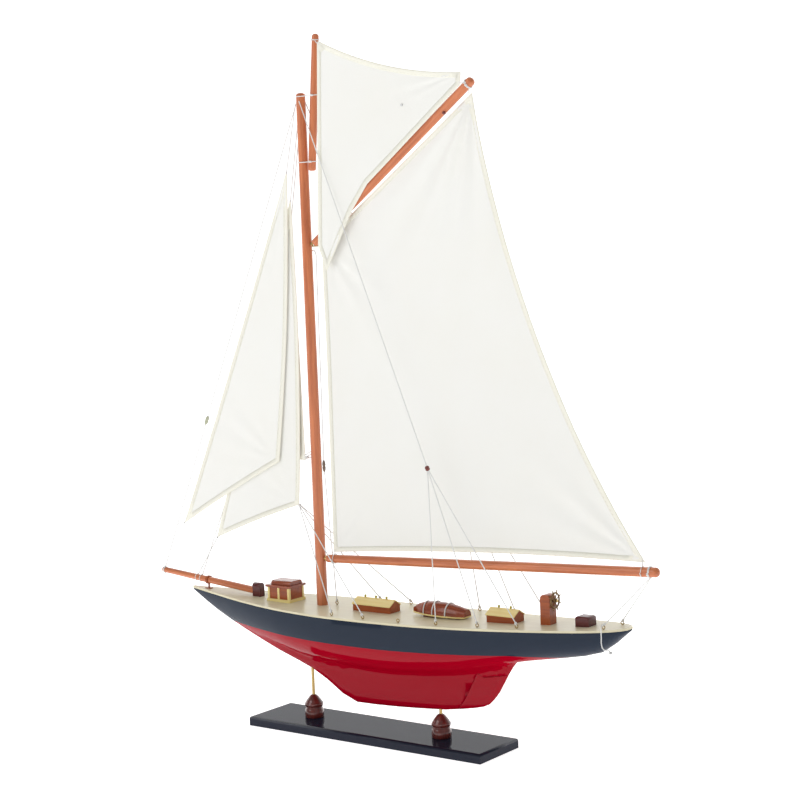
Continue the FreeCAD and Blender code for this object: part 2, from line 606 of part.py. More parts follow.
TOPMAST_FOOT, TOPMAST_HEAD = Vector(-54.3, 0, 562), Vector(-42.8, 0, 695)
feature("topmast", rod(TOPMAST_FOOT, TOPMAST_HEAD, size("topmast_radius") + 0.1,
                       size("topmast_radius") - 0.4))
BOOM_START = Vector(pivot_x + 1.9, 0, size("boom_z"))
BOOM_END = Vector(318, 0, 189.6)
boom_tip = Part.makeSphere(size("boom_radius") - 0.1, BOOM_END)
boom = rod(BOOM_START, BOOM_END, size("boom_radius")).fuse(boom_tip).removeSplitter()
feature("boom", boom.cut(rig_pins))
GAFF_START = Vector(pivot_x + 2.6, 0, size("gaff_z"))
GAFF_END = Vector(138.5, 0, 632.6)
gaff_tip = Part.makeSphere(size("gaff_radius") - 0.1, GAFF_END)
gaff = rod(GAFF_START, GAFF_END, size("gaff_radius")).fuse(gaff_tip).removeSplitter()
feature("gaff", gaff.cut(rig_pins))


def spar_point(start, end, x):
    return start + (end - start) * ((x - start.x) / (end.x - start.x))


def band(centre, direction, inner, outer, width):
    """Cord wound round a spar: a short sleeve that fits the spar."""
    half = direction * (width / 2)
    sleeve = rod(centre - half, centre + half, outer)
    return sleeve.cut(rod(centre - half * 2, centre + half * 2, inner))


boom_line = (BOOM_END - BOOM_START).normalize()
gaff_line = (GAFF_END - GAFF_START).normalize()
topmast_line = (TOPMAST_HEAD - TOPMAST_FOOT).normalize()
LASHING = 0.9
boom_wrap = band(spar_point(BOOM_START, BOOM_END, 313), boom_line, size("boom_radius"),
                 size("boom_radius") + LASHING, 2.6)
gaff_wrap = band(spar_point(GAFF_START, GAFF_END, 136.3), gaff_line, size("gaff_radius"),
                 size("gaff_radius") + LASHING, 2.6)
feature("boom_lashing", boom_wrap)
feature("gaff_lashing", gaff_wrap)
head_wrap = band(TOPMAST_FOOT + topmast_line * 127.5, topmast_line, 3.5, 4.5, 2)
feature("topmast_head_lashing", head_wrap.cut(doc.getObject("topmast").Shape))
# two turns hold the topmast to the mast: one at its foot, one at the mast head
joins = []
mast_taper = (size("mast_radius") - size("mast_tip_radius")) / (
    size("mast_top") - size("mast_foot"))
JOIN_HEIGHT = 2.2
for z in (571, 635.5):
    spar = TOPMAST_FOOT + topmast_line * ((z - TOPMAST_FOOT.z) / topmast_line.z)
    mast_reach = size("mast_radius") - mast_taper * (z - size("mast_foot")) + LASHING
    spar_reach = size("topmast_radius") + LASHING
    foot_z = z - JOIN_HEIGHT / 2
    outer = Part.makeCylinder(mast_reach, JOIN_HEIGHT, Vector(mast_x, 0, foot_z))
    outer = outer.fuse(Part.makeCylinder(spar_reach, JOIN_HEIGHT, Vector(spar.x, 0, foot_z)))
    web = Part.makeBox(spar.x - mast_x, 2 * spar_reach, JOIN_HEIGHT,
                       Vector(mast_x, -spar_reach, foot_z))
    joins.append(outer.fuse(web).cut([mast, doc.getObject("topmast").Shape]).removeSplitter())
feature("mast_lashings", Part.makeCompound(joins))

# ---------------------------------------------------------------- sails
CLOTH = size("cloth")


def sail(label, outline, side):
    """Thin closed cloth solid standing at Y = side."""
    shape = prism(outline, CLOTH)
    shape.translate(Vector(0, side, 0))
    return feature(label, shape)


def hollow(start, end, depth, steps=8):
    """Points of a shallow arc from start to end that bends in by depth at the middle."""
    dx, dz = end[0] - start[0], end[1] - start[1]
    reach = math.hypot(dx, dz)
    points = []
    for k in range(1, steps):
        share = k / steps
        bow = depth * 4 * share * (1 - share)
        points.append((start[0] + dx * share - bow * dz / reach,
                       start[1] + dz * share + bow * dx / reach))
    return points


MAIN_TACK, MAIN_THROAT = (-47.5, 182), (-46.5, 490.3)
MAIN_PEAK, MAIN_CLEW = (140, 622.6), (308, 197.8)
mainsail = [MAIN_TACK, MAIN_THROAT] + hollow(MAIN_THROAT, MAIN_PEAK, 1.6) + [MAIN_PEAK]
mainsail += hollow(MAIN_PEAK, MAIN_CLEW, -27) + [MAIN_CLEW]
mainsail += hollow(MAIN_CLEW, MAIN_TACK, -4)
sail("mainsail", mainsail, 0)
TOP_TACK, TOP_LUFF, TOP_HEAD = (-36.5, 464), (-46.3, 488), (-36.8, 687.3)
TOP_CLEW, TOP_CLEW_FOOT = (132, 642), (130.8, 630.6)
# the tack is hauled down in front of the gaff, and the rest of the foot lies along the spar
TOP_FOOT_LOW, TOP_FOOT_HIGH = (-2, 521.5), (17.7, 545.8)
topsail = [TOP_TACK, TOP_LUFF, TOP_HEAD] + hollow(TOP_HEAD, TOP_CLEW, -9)
topsail += [TOP_CLEW, TOP_CLEW_FOOT, TOP_FOOT_HIGH, TOP_FOOT_LOW]
TOPSAIL_SIDE = -5.1
sail("topsail", topsail, TOPSAIL_SIDE)
JIB_TACK, JIB_HEAD, JIB_CLEW = (-250.4, 199), (-86.5, 562), (-112.5, 271)
sail("jib", [JIB_TACK, JIB_HEAD] + hollow(JIB_HEAD, JIB_CLEW, 5) + [JIB_CLEW], -3.2)
STAY_TACK, STAY_HEAD, STAY_CLEW = (-206, 186.5), (-85, 534), (-90.5, 227.5)
sail("staysail", [STAY_TACK, STAY_HEAD] + hollow(STAY_HEAD, STAY_CLEW, 5) + [STAY_CLEW], 0)
INNER_TACK, INNER_HEAD, INNER_CLEW = (-171, 274), (-87, 516), (-81.5, 273)
sail("inner_jib", [INNER_TACK, INNER_HEAD, INNER_CLEW], 3.2)

# ---------------------------------------------------------------- standing and running lines
THREAD = size("thread")


def line(*points):
    """Taut thread through the points, one straight solid to a run."""
    return [rod(a, b, THREAD) for a, b in zip(points, points[1:])]


def stop_at(shapes, obstacles):
    """Trim threads where they meet beads, eyes or spars."""
    return [shape.cut(obstacles) for shape in shapes]


FORESTAY_FOOT, FORESTAY_HEAD = Vector(-285, 0, 147.4), Vector(-70.6, 0, 631)
FORESTAY_BEAD = FORESTAY_FOOT + (FORESTAY_HEAD - FORESTAY_FOOT) * 0.337
PENDANT_BEAD = Vector(90, 23, 275)
HALYARD_TOP, HALYARD_TOGGLE = Vector(-57.6, 4.6, 480), Vector(-58.7, 4, 267.8)
HALYARD_FOOT = Vector(-51.5, 6.5, 131.6)


def toggle(centre, way, length, radius):
    """Turned barrel threaded on a line."""
    half = way.normalize() * (length / 2)
    return rod(centre - half, centre + half, radius)


beads = [toggle(FORESTAY_BEAD, FORESTAY_HEAD - FORESTAY_FOOT, 8.5, 1.9),
         toggle(HALYARD_TOGGLE, Vector(0, 0, 1), 11, 1.5)]
for side in (-1, 1):
    beads.append(Part.makeSphere(2.5, Vector(PENDANT_BEAD.x, side * PENDANT_BEAD.y,
                                             PENDANT_BEAD.z)))
bead_set = Part.makeCompound(beads)
feature("line_beads", bead_set)
eye_set = Part.makeCompound(eye_solids)
forestay = line(FORESTAY_FOOT, FORESTAY_HEAD)
feature("forestay", Part.makeCompound(stop_at(forestay, [bead_set, bowsprit, joins[1]])))
jib_lines = line(Vector(JIB_HEAD[0], -3.2, JIB_HEAD[1] + 0.4), Vector(-70, -3, 628))
jib_lines += line(Vector(JIB_TACK[0] - 0.4, -3.2, JIB_TACK[1] - 0.4), Vector(-262.6, 0.0, 197.5))
stay_lines = line(Vector(STAY_HEAD[0], 0, STAY_HEAD[1] + 0.4), Vector(-70.2, 0, 611))
stay_lines += line(Vector(STAY_TACK[0] - 0.3, 0, STAY_TACK[1] - 0.4), Vector(-237.5, 0, 142.6))
inner_lines = line(Vector(INNER_HEAD[0], 3.2, INNER_HEAD[1] + 0.4), Vector(-70, 2.6, 607))
inner_lines += line(Vector(INNER_TACK[0] - 0.3, 3.2, INNER_TACK[1] - 0.4),
                    Vector(-231.5, 1.2, 143.0))
feature("headsail_halyards", Part.makeCompound(
    stop_at(jib_lines + stay_lines + inner_lines, [bowsprit, joins[1], mast] + forestay)))
tie_fan = []
for z in (277, 281, 285):
    tie_fan.append(rod(Vector(INNER_CLEW[0] - 0.2, 3.2, INNER_CLEW[1] + (z - 277) / 2 + 0.6),
                       Vector(mast_x, 3, z + 2), THREAD).cut(mast))
feature("inner_jib_tie", Part.makeCompound(tie_fan).cut(
    doc.getObject("inner_jib").Shape))
sheets = []
for side in (-1, 1):
    for name in ("sheet_fore", "sheet_aft"):
        place = Vector(EYES[name][0], side * EYES[name][1], 0)
        top = eye_top(place) + Vector(0, 0, RING)
        sheets += line(Vector(STAY_CLEW[0] + 0.6, side * 0.5, STAY_CLEW[1] - 0.5), top)
feature("headsail_sheets", Part.makeCompound(stop_at(sheets, [eye_set])))
pendants = []
legs = []
for side in (-1, 1):
    centre = Vector(PENDANT_BEAD.x, side * PENDANT_BEAD.y, PENDANT_BEAD.z)
    pendants += line(Vector(-62.5, side * 5.6, 631), centre)
    for name in ("leg_fore", "leg_mid", "leg_aft"):
        place = Vector(EYES[name][0], side * EYES[name][1], 0)
        legs += line(centre, eye_top(place) + Vector(0, 0, RING))
feature("pendants", Part.makeCompound(stop_at(pendants, [bead_set, joins[1]])))
feature("pendant_legs", Part.makeCompound(stop_at(legs, [bead_set, eye_set])))
feature("halyard", Part.makeCompound(
    stop_at(line(HALYARD_TOP, HALYARD_TOGGLE, HALYARD_FOOT), [bead_set, eye_set])))
# ties that hold the main sail and the topsail to their spars, and two small fittings
ties = []
for corner, spar in (((MAIN_TACK[0] + 1.5, MAIN_TACK[1] + 0.3), (BOOM_START, BOOM_END)),
                     ((MAIN_CLEW[0] - 2.5, MAIN_CLEW[1] + 0.3), (BOOM_START, BOOM_END))):
    foot = spar_point(spar[0], spar[1], corner[0])
    ties.append(rod(foot, Vector(corner[0], 0, corner[1]), THREAD))
for corner in (MAIN_THROAT, MAIN_PEAK):
    x = corner[0] + (3 if corner is MAIN_THROAT else -3)
    head = spar_point(GAFF_START, GAFF_END, x)
    ties.append(rod(head, head + Vector(0, 0, -6.5), THREAD))
sail_shapes = [doc.getObject("mainsail").Shape, doc.getObject("topsail").Shape]
clew_spar = spar_point(GAFF_START, GAFF_END, 127)
ties.append(rod(clew_spar, Vector(128, TOPSAIL_SIDE, TOP_CLEW_FOOT[1] + 1), THREAD))
tack_spar = spar_point(GAFF_START, GAFF_END, -36)
ties.append(rod(tack_spar, tack_spar + Vector(0, TOPSAIL_SIDE, 0), THREAD))
feature("sail_ties", Part.makeCompound(
    [tie.cut([boom, gaff, boom_wrap, gaff_wrap] + sail_shapes) for tie in ties]))
GAFF_BEAD = spar_point(GAFF_START, GAFF_END, 110) + Vector(0, -2.8, -5.2)
feature("gaff_bead", Part.makeSphere(1.7, GAFF_BEAD).cut(gaff))
GROMMET = Vector(63.4, TOPSAIL_SIDE - CLOTH / 2, 617.3)
feature("topsail_grommet", Part.makeCylinder(1.3, 0.7, GROMMET, Vector(0, -1, 0)))

# ---------------------------------------------------------------- mainsheet and its free end
TAIL_RADIUS = 0.5
TAIL = [(271.4, -13.3, 140.7), (272.2, -16.4, 142.2), (273.0, -19.9, 140.6),
        (273.4, -21.0, 135.8), (273.6, -21.2, 130.6), (273.4, -21.4, 125.2),
        (275.0, -21.8, 121.0), (278.8, -22.2, 119.6), (281.6, -22.4, 121.4),
        (283.4, -22.6, 118.6)]


def rounded_path(points):
    """Straight runs joined by tangent arcs as large as the runs allow."""
    route = [Vector(*p) for p in points]
    edges = []
    start = route[0]
    radii = []
    for before, corner, after in zip(route, route[1:], route[2:]):
        back_way, on_way = (before - corner), (after - corner)
        turn = math.pi - back_way.getAngle(on_way)
        trim = 0.45 * min(back_way.Length, on_way.Length)
        radii.append(trim / math.tan(turn / 2))
        enter = corner + back_way.normalize() * trim
        leave = corner + on_way.normalize() * trim
        bisector = (back_way + on_way).normalize()
        middle = corner + bisector * (math.hypot(radii[-1], trim) - radii[-1])
        edges.append(Part.makeLine(start, enter))
        edges.append(Part.Arc(enter, middle, leave).toShape())
        start = leave
    edges.append(Part.makeLine(start, route[-1]))
    return Part.Wire(edges), radii


def tube(points, radius):
    """Round cord along the rounded path, as one solid."""
    path, radii = rounded_path(points)
    start = Vector(*points[0])
    circle = Part.Wire(Part.makeCircle(radius, start, Vector(*points[1]) - start))
    solid = path.makePipeShell([circle], True, False, 2)
    print("tube length", round(path.Length, 1), "radii", [round(r, 1) for r in radii],
          "volume ratio", round(solid.Volume / (math.pi * radius ** 2 * path.Length), 3))
    return solid


tail = tube(TAIL, TAIL_RADIUS).cut(eye_set)
feature("sheet_tail", tail)
BOOM_BECKET = spar_point(BOOM_START, BOOM_END, 313)
sheet_lines = []
for name, place in MAINSHEET_EYES.items():
    side = -1 if name == "port" else 1
    top = BOOM_BECKET + Vector(0, side * 0.8, -size("boom_radius") - 1.6)
    sheet_lines += line(top, eye_top(place) + Vector(0, 0, RING))
feature("mainsheet", Part.makeCompound(stop_at(sheet_lines, [eye_set, tail])))


# ---------------------------------------------------------------- check and write
doc.recompute()
for item in doc.Objects:
    if "Invalid" in item.State or "Error" in item.State:
        raise RuntimeError("failed feature: " + item.Name)
os.makedirs("parts", exist_ok=True)
for item in NODES:
    shape = item.Shape
    if shape.isNull() or not shape.isValid() or not shape.Solids:
        raise RuntimeError("bad shape: " + item.Label)
    shape.exportStep("parts/%s.step" % item.Label)
print(len(NODES), "nodes", "volume of hull", round(doc.getObject("hull").Shape.Volume / 1000), "cm3")
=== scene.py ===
"""Display yacht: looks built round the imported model, laid out as a Blender add-on.

Lengths in this file are millimetres unless a property says otherwise; MM turns them into metres.
The bow points to -X, the port side to -Y and the masthead to +Z.
"""
import math

import bpy
import numpy as np
from mathutils import Matrix, Vector


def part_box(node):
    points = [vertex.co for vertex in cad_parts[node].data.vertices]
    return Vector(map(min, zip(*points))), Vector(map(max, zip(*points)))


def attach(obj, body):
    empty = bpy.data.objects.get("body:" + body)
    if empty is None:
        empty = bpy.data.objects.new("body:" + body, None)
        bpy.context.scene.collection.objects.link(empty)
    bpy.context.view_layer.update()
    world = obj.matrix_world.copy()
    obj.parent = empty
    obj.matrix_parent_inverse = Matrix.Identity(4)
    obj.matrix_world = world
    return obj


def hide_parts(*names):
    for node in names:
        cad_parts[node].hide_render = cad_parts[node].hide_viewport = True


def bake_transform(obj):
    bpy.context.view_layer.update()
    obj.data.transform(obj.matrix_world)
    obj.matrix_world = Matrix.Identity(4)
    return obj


bl_info = {
    "name": "Display yacht",
    "version": (1, 0, 0),
    "blender": (4, 5, 0),
    "location": "View3D > Sidebar > Yacht",
    "description": "Builds the looks of a gaff-rigged display yacht on its stand",
    "category": "Add Mesh",
}

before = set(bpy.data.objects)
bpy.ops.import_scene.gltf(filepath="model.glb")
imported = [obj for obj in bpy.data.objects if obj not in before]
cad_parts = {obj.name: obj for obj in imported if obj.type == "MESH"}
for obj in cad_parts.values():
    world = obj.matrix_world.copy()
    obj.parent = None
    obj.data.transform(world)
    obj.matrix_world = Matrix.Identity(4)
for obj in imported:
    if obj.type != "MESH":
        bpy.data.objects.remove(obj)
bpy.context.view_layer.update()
MM = 0.001
UP, ACROSS = Vector((0, 0, 1)), Vector((0, 1, 0))
WELD_REACH = 0.02 * MM      # packed vertices closer than this are one
BEVEL_ANGLE = 35            # edges sharper than this, in degrees, are softened


# ------------------------------------------------------------------ values a user would change
class YachtSizes(bpy.types.PropertyGroup):
    thread: bpy.props.FloatProperty(
        name="Thread", description="Radius of the rigging thread", default=0.58 * MM,
        unit="LENGTH")
    thread_lay: bpy.props.FloatProperty(
        name="Thread lay", description="Length of one turn of the thread's strands",
        default=4.2 * MM, unit="LENGTH")
    cloth: bpy.props.FloatProperty(
        name="Cloth", description="Thickness of the sail cloth", default=0.45 * MM,
        unit="LENGTH")
    hem: bpy.props.FloatProperty(
        name="Hem", description="Width of the turned hem round each sail", default=5.0 * MM,
        unit="LENGTH")
    belly: bpy.props.FloatProperty(
        name="Belly", description="How far the main sail fills to starboard",
        default=5.0 * MM, unit="LENGTH")
    waterline: bpy.props.FloatProperty(
        name="Waterline", description="Height where the bottom paint meets the topside paint",
        default=99.2 * MM, unit="LENGTH")
    waterline_rise: bpy.props.FloatProperty(
        name="Waterline rise", description="How far the paint line has risen 165 mm aft",
        default=6.0 * MM, unit="LENGTH")
    lens: bpy.props.FloatProperty(
        name="Lens", description="Focal length of the camera in millimetres", default=81.33)
    camera_distance: bpy.props.FloatProperty(
        name="Camera distance", description="Distance from the aim point", default=1.7453,
        unit="LENGTH")
    camera_turn: bpy.props.FloatProperty(
        name="Camera turn", description="Angle of the camera round the yacht",
        default=math.radians(37.22), subtype="ANGLE")
    camera_height: bpy.props.FloatProperty(
        name="Camera height", description="Angle of the camera above the horizon",
        default=math.radians(4.83), subtype="ANGLE")
    camera_roll: bpy.props.FloatProperty(
        name="Camera roll", description="Tilt of the camera about its own axis",
        default=math.radians(-2.26), subtype="ANGLE")


def colour(name, description, default):
    return bpy.props.FloatVectorProperty(name=name, description=description, size=4, min=0,
                                         max=1, subtype="COLOR", default=default)


class YachtColours(bpy.types.PropertyGroup):
    topsides: colour("Topsides", "Paint above the waterline", (0.017, 0.026, 0.044, 1))
    bottom: colour("Bottom", "Paint below the waterline", (0.33, 0.0006, 0.011, 1))
    deck: colour("Deck", "Pale wood of the deck", (0.68, 0.63, 0.44, 1))
    spar: colour("Spars", "Varnished wood of the spars", (0.64, 0.205, 0.085, 1))
    spar_dark: colour("Spar grain", "Grain lines in the spars", (0.36, 0.095, 0.040, 1))
    sail: colour("Sails", "Ivory sail cloth", (0.80, 0.80, 0.775, 1))
    hem: colour("Hems", "Cloth of the doubled hems", (0.79, 0.78, 0.70, 1))
    base: colour("Base", "Lacquer of the stand board", (0.008, 0.012, 0.026, 1))
    post: colour("Posts", "Turned wood of the stand posts", (0.17, 0.030, 0.022, 1))
    mahogany: colour("Mahogany", "Dark wood of the deck fittings", (0.115, 0.014, 0.012, 1))
    panel: colour("Panels", "Orange-brown wood of the panels", (0.40, 0.085, 0.014, 1))
    cream: colour("Cream trim", "Cream-coloured trim wood", (0.93, 0.77, 0.33, 1))
    brass: colour("Brass", "Brass fittings", (0.42, 0.30, 0.12, 1))
    cord: colour("Cord", "White rigging cord", (0.80, 0.80, 0.785, 1))


def sizes():
    return bpy.context.scene.yacht_sizes


def colours():
    return bpy.context.scene.yacht_colours


# ------------------------------------------------------------------ shapes
class Form:
    """Vertices and faces gathered for one piece, in millimetres."""

    def __init__(self):
        self.verts = []
        self.faces = []

    def add(self, verts, faces):
        base = len(self.verts)
        self.verts.extend(verts)
        self.faces.extend([tuple(i + base for i in face) for face in faces])


def rings_to_faces(rings, sides):
    """Quads that join consecutive closed rings of vertices."""
    faces = []
    for r in range(rings - 1):
        for s in range(sides):
            a, b = r * sides + s, r * sides + (s + 1) % sides
            faces.append((a, b, b + sides, a + sides))
    return faces


def axes_for(direction):
    """Two unit vectors square to the direction."""
    direction = direction.normalized()
    side = direction.cross(UP if abs(direction.z) < 0.9 else ACROSS).normalized()
    return side, direction.cross(side)


def spoke(side, other, turn):
    """Unit vector at that turn in the plane of side and other."""
    return side * math.cos(turn) + other * math.sin(turn)


def lathe(form, profile, start, direction, sides=40):
    """Turned solid: profile lists (distance along the axis, radius) from one end to the other."""
    direction = direction.normalized()
    side, other = axes_for(direction)
    verts = []
    for along, radius in profile:
        for k in range(sides):
            turn = 2 * math.pi * k / sides
            verts.append(start + direction * along + spoke(side, other, turn) * radius)
    faces = rings_to_faces(len(profile), sides)
    first, last = len(verts), len(verts) + 1
    verts += [start + direction * profile[0][0], start + direction * profile[-1][0]]
    top = (len(profile) - 1) * sides
    for k in range(sides):
        faces.append((first, (k + 1) % sides, k))
        faces.append((last, top + k, top + (k + 1) % sides))
    form.add(verts, faces)


def distances(line):
    """Distance of each point from the first one, measured along the polyline."""
    return np.r_[0, np.cumsum(np.linalg.norm(np.diff(line, axis=0), axis=1))]


def points_at(line, at):
    """Points of the polyline at the given distances along it."""
    so_far = distances(line)
    return np.column_stack([np.interp(at, so_far, column) for column in line.T])


def respaced(points, step):
    """Points of the polyline at even spacing, ends kept, and their distances along it."""
    line = np.array([tuple(p) for p in points], float)
    length = distances(line)[-1]
    at = np.linspace(0, length, max(2, int(length / step) + 1))
    return points_at(line, at), at


STRANDS, LOBE = 3, 0.10     # strands in the thread, and how far they stand proud of it


def thread(form, points, radius=None, lay=None, step=0.6, sides=12):
    """Laid cord along the points: a lobed section that turns once in each lay length."""
    radius = radius or sizes().thread / MM
    lay = lay or sizes().thread_lay / MM
    line, at = respaced(points, step)
    tangent = np.gradient(line, axis=0)
    tangent /= np.linalg.norm(tangent, axis=1)[:, None]
    side = np.array(axes_for(Vector(tangent[0]))[0])
    sides_at = np.empty_like(line)
    for k, along in enumerate(tangent):
        side = side - along * (side @ along)
        side /= np.linalg.norm(side)
        sides_at[k] = side
    other = np.cross(tangent, sides_at)
    angle = 2 * np.pi * np.arange(sides) / sides
    twist = angle[None, :] - 2 * np.pi * at[:, None] / lay
    lobed = radius * (1 - LOBE + LOBE * np.cos(STRANDS * twist))
    ring = (line[:, None, :] + sides_at[:, None, :] * (lobed * np.cos(angle))[:, :, None]
            + other[:, None, :] * (lobed * np.sin(angle))[:, :, None])
    verts = ring.reshape(-1, 3).tolist()
    faces = rings_to_faces(len(line), sides)
    faces.append(tuple(range(sides))[::-1])
    top = (len(line) - 1) * sides
    faces.append(tuple(range(top, top + sides)))
    form.add(verts, faces)


def coil_points(centre, direction, radius, turns, pitch, per_turn=28):
    """Points of a helix wound about the axis, centred on centre."""
    direction = direction.normalized()
    side, other = axes_for(direction)
    points = []
    for k in range(turns * per_turn + 1):
        turn = 2 * math.pi * k / per_turn
        along = pitch * (k / per_turn - turns / 2)
        points.append(centre + direction * along + spoke(side, other, turn) * radius)
    return points


def wound(form, centre, direction, spar_radius, turns, cord):
    """Cord wound tight round a spar, with its end tucked over the turns."""
    thread(form, coil_points(centre, direction, spar_radius + cord * 0.8, turns, cord * 1.95),
           cord, step=0.45)
    side, other = axes_for(direction)
    half = direction.normalized() * (turns * cord)
    out = (side * 0.94 + other * 0.34).normalized() * (spar_radius + cord * 2.1)
    tail = [centre - half * 1.1 + out * 0.94, centre - half * 0.7 + out,
            centre + half * 0.7 + out, centre + half * 1.25 + out * 0.93]
    thread(form, tail, cord, step=0.45)


def knot(form, centre, size, cord=None, direction=UP, steps=60):
    """Overhand knot drawn up small."""
    side, other = axes_for(direction)
    direction = direction.normalized()
    points = []
    for k in range(steps + 1):
        t = 2 * math.pi * k / steps
        points.append(centre + (side * (math.sin(t) + 2 * math.sin(2 * t))
                                + other * (math.cos(t) - 2 * math.cos(2 * t))
                                - direction * math.sin(3 * t) * 1.2) * (size / 3))
    thread(form, points, cord, step=0.4)


def piece(name, form, material, body, replaces=(), auto_angle=None):
    """One Blender object from a form, riding on a body if one is named."""
    mesh = bpy.data.meshes.new(name)
    verts = [(p[0] * MM, p[1] * MM, p[2] * MM) for p in form.verts]
    mesh.from_pydata(verts, [], form.faces)
    mesh.validate()
    obj = bpy.data.objects.new(name, mesh)
    bpy.context.scene.collection.objects.link(obj)
    mesh.materials.append(material)
    smooth_mesh(obj, auto_angle)
    if body:
        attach(obj, body)
    if replaces:
        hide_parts(*replaces)
    return obj


def smooth_mesh(obj, auto_angle=None):
    """Smooth shading, broken at edges sharper than auto_angle degrees where it is given."""
    obj.data.polygons.foreach_set("use_smooth", [True] * len(obj.data.polygons))
    if auto_angle:
        with bpy.context.temp_override(active_object=obj, object=obj,
                                       selected_editable_objects=[obj]):
            bpy.ops.object.shade_auto_smooth(angle=math.radians(auto_angle))


def dress(node, material, bevel=0.0):
    """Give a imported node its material, and soften its sharp edges with modifiers."""
    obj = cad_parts[node]
    obj.data.materials.clear()
    obj.data.materials.append(material)
    weld = obj.modifiers.new("Weld", "WELD")
    weld.merge_threshold = WELD_REACH
    if bevel:
        soften = obj.modifiers.new("Soften", "BEVEL")
        soften.width = bevel * MM
        soften.segments = 2
        soften.limit_method = "ANGLE"
        soften.angle_limit = math.radians(BEVEL_ANGLE)


# ------------------------------------------------------------------ shared shader groups
def group(name, inputs, outputs):
    """Empty node group with named sockets; inputs and outputs list (name, type, default)."""
    tree = bpy.data.node_groups.new(name, "ShaderNodeTree")
    for label, kind, default in inputs:
        socket = tree.interface.new_socket(label, in_out="INPUT", socket_type=kind)
        socket.default_value = default
    for label, kind in outputs:
        tree.interface.new_socket(label, in_out="OUTPUT", socket_type=kind)
    return tree, tree.nodes.new("NodeGroupInput"), tree.nodes.new("NodeGroupOutput")


def add(tree, kind, settings=None, **inputs):
    """New node with its settings and inputs; an input is a value or another socket."""
    node = tree.nodes.new(kind)
    for key, value in (settings or {}).items():
        setattr(node, key, value)
    for key, value in inputs.items():
        label = key.replace("_", " ")
        feed(tree, node.inputs[label if label in node.inputs else int(key[1:])], value)
    return node


def feed(tree, socket, value):
    """Link a socket to another one, or set its value."""
    if isinstance(value, bpy.types.NodeSocket):
        tree.links.new(value, socket)
    else:
        socket.default_value = value


def calc(tree, operation, *values, clamp=False):
    """Math node on values or sockets; gives its output."""
    return add(tree, "ShaderNodeMath", {"operation": operation, "use_clamp": clamp},
               **{f"i{k}": value for k, value in enumerate(values)}).outputs[0]


def mixed(tree, share, first, second):
    """Mix of two colours; gives its output."""
    return add(tree, "ShaderNodeMix", {"data_type": "RGBA"}, i0=share, i6=first,
               i7=second).outputs[2]


def ranged(tree, value, low, high, top=1.0):
    """Map Range node that takes low to 0 and high to top, clamped; gives its output."""
    return add(tree, "ShaderNodeMapRange", Value=value, From_Min=low, From_Max=high,
               To_Max=top).outputs[0]


def place_of(tree):
    """Coordinates in the object's own frame, in metres."""
    return tree.nodes.new("ShaderNodeTexCoord").outputs["Object"]


def noise(tree, vector, scale, detail):
    return add(tree, "ShaderNodeTexNoise", Vector=vector, Scale=scale,
               Detail=detail).outputs["Fac"]


def send(tree, out, **sockets):
    """Link sockets to the group's outputs of the same names."""
    for label, socket in sockets.items():
        tree.links.new(socket, out.inputs[label])


def stretched_noise(tree, vector, stretch, scale, detail):
    """Noise on coordinates stretched by a vector."""
    move = add(tree, "ShaderNodeVectorMath", {"operation": "MULTIPLY"}, i0=vector, i1=stretch)
    return add(tree, "ShaderNodeTexNoise", Vector=move.outputs[0], Scale=scale, Detail=detail,
               Roughness=0.55).outputs["Fac"]


def make_grain_group():
    """Wood: long streaks of a darker colour, fine pores, and a height for both."""
    tree, source, out = group(
        "Wood grain",
        [("Wood", "NodeSocketColor", (0.6, 0.3, 0.1, 1)),
         ("Dark", "NodeSocketColor", (0.3, 0.1, 0.05, 1)),
         ("Stretch", "NodeSocketVector", (0.08, 1, 1)),
         ("Scale", "NodeSocketFloat", 240.0), ("Strength", "NodeSocketFloat", 0.6)],
        [("Color", "NodeSocketColor"), ("Height", "NodeSocketFloat"),
         ("Roughness", "NodeSocketFloat")])
    where = place_of(tree)
    stretch, scale = source.outputs["Stretch"], source.outputs["Scale"]
    streak = stretched_noise(tree, where, stretch, scale, 4.0)
    pore = stretched_noise(tree, where, stretch, calc(tree, "MULTIPLY", scale, 5.0), 2.0)
    streaks = ranged(tree, streak, 0.36, 0.66)
    pores = ranged(tree, pore, 0.52, 0.72)
    both = calc(tree, "MULTIPLY_ADD", pores, 0.35, streaks)
    cloud = calc(tree, "MULTIPLY_ADD", noise(tree, where, 28.0, 2.0), 0.4, -0.2)
    share = calc(tree, "MULTIPLY", calc(tree, "ADD", both, cloud), source.outputs["Strength"],
                 clamp=True)
    send(tree, out, Color=mixed(tree, share, source.outputs["Wood"], source.outputs["Dark"]),
         Height=calc(tree, "SUBTRACT", 1.0, both),
         Roughness=calc(tree, "MULTIPLY_ADD", both, 0.10, 0.20))
    return tree


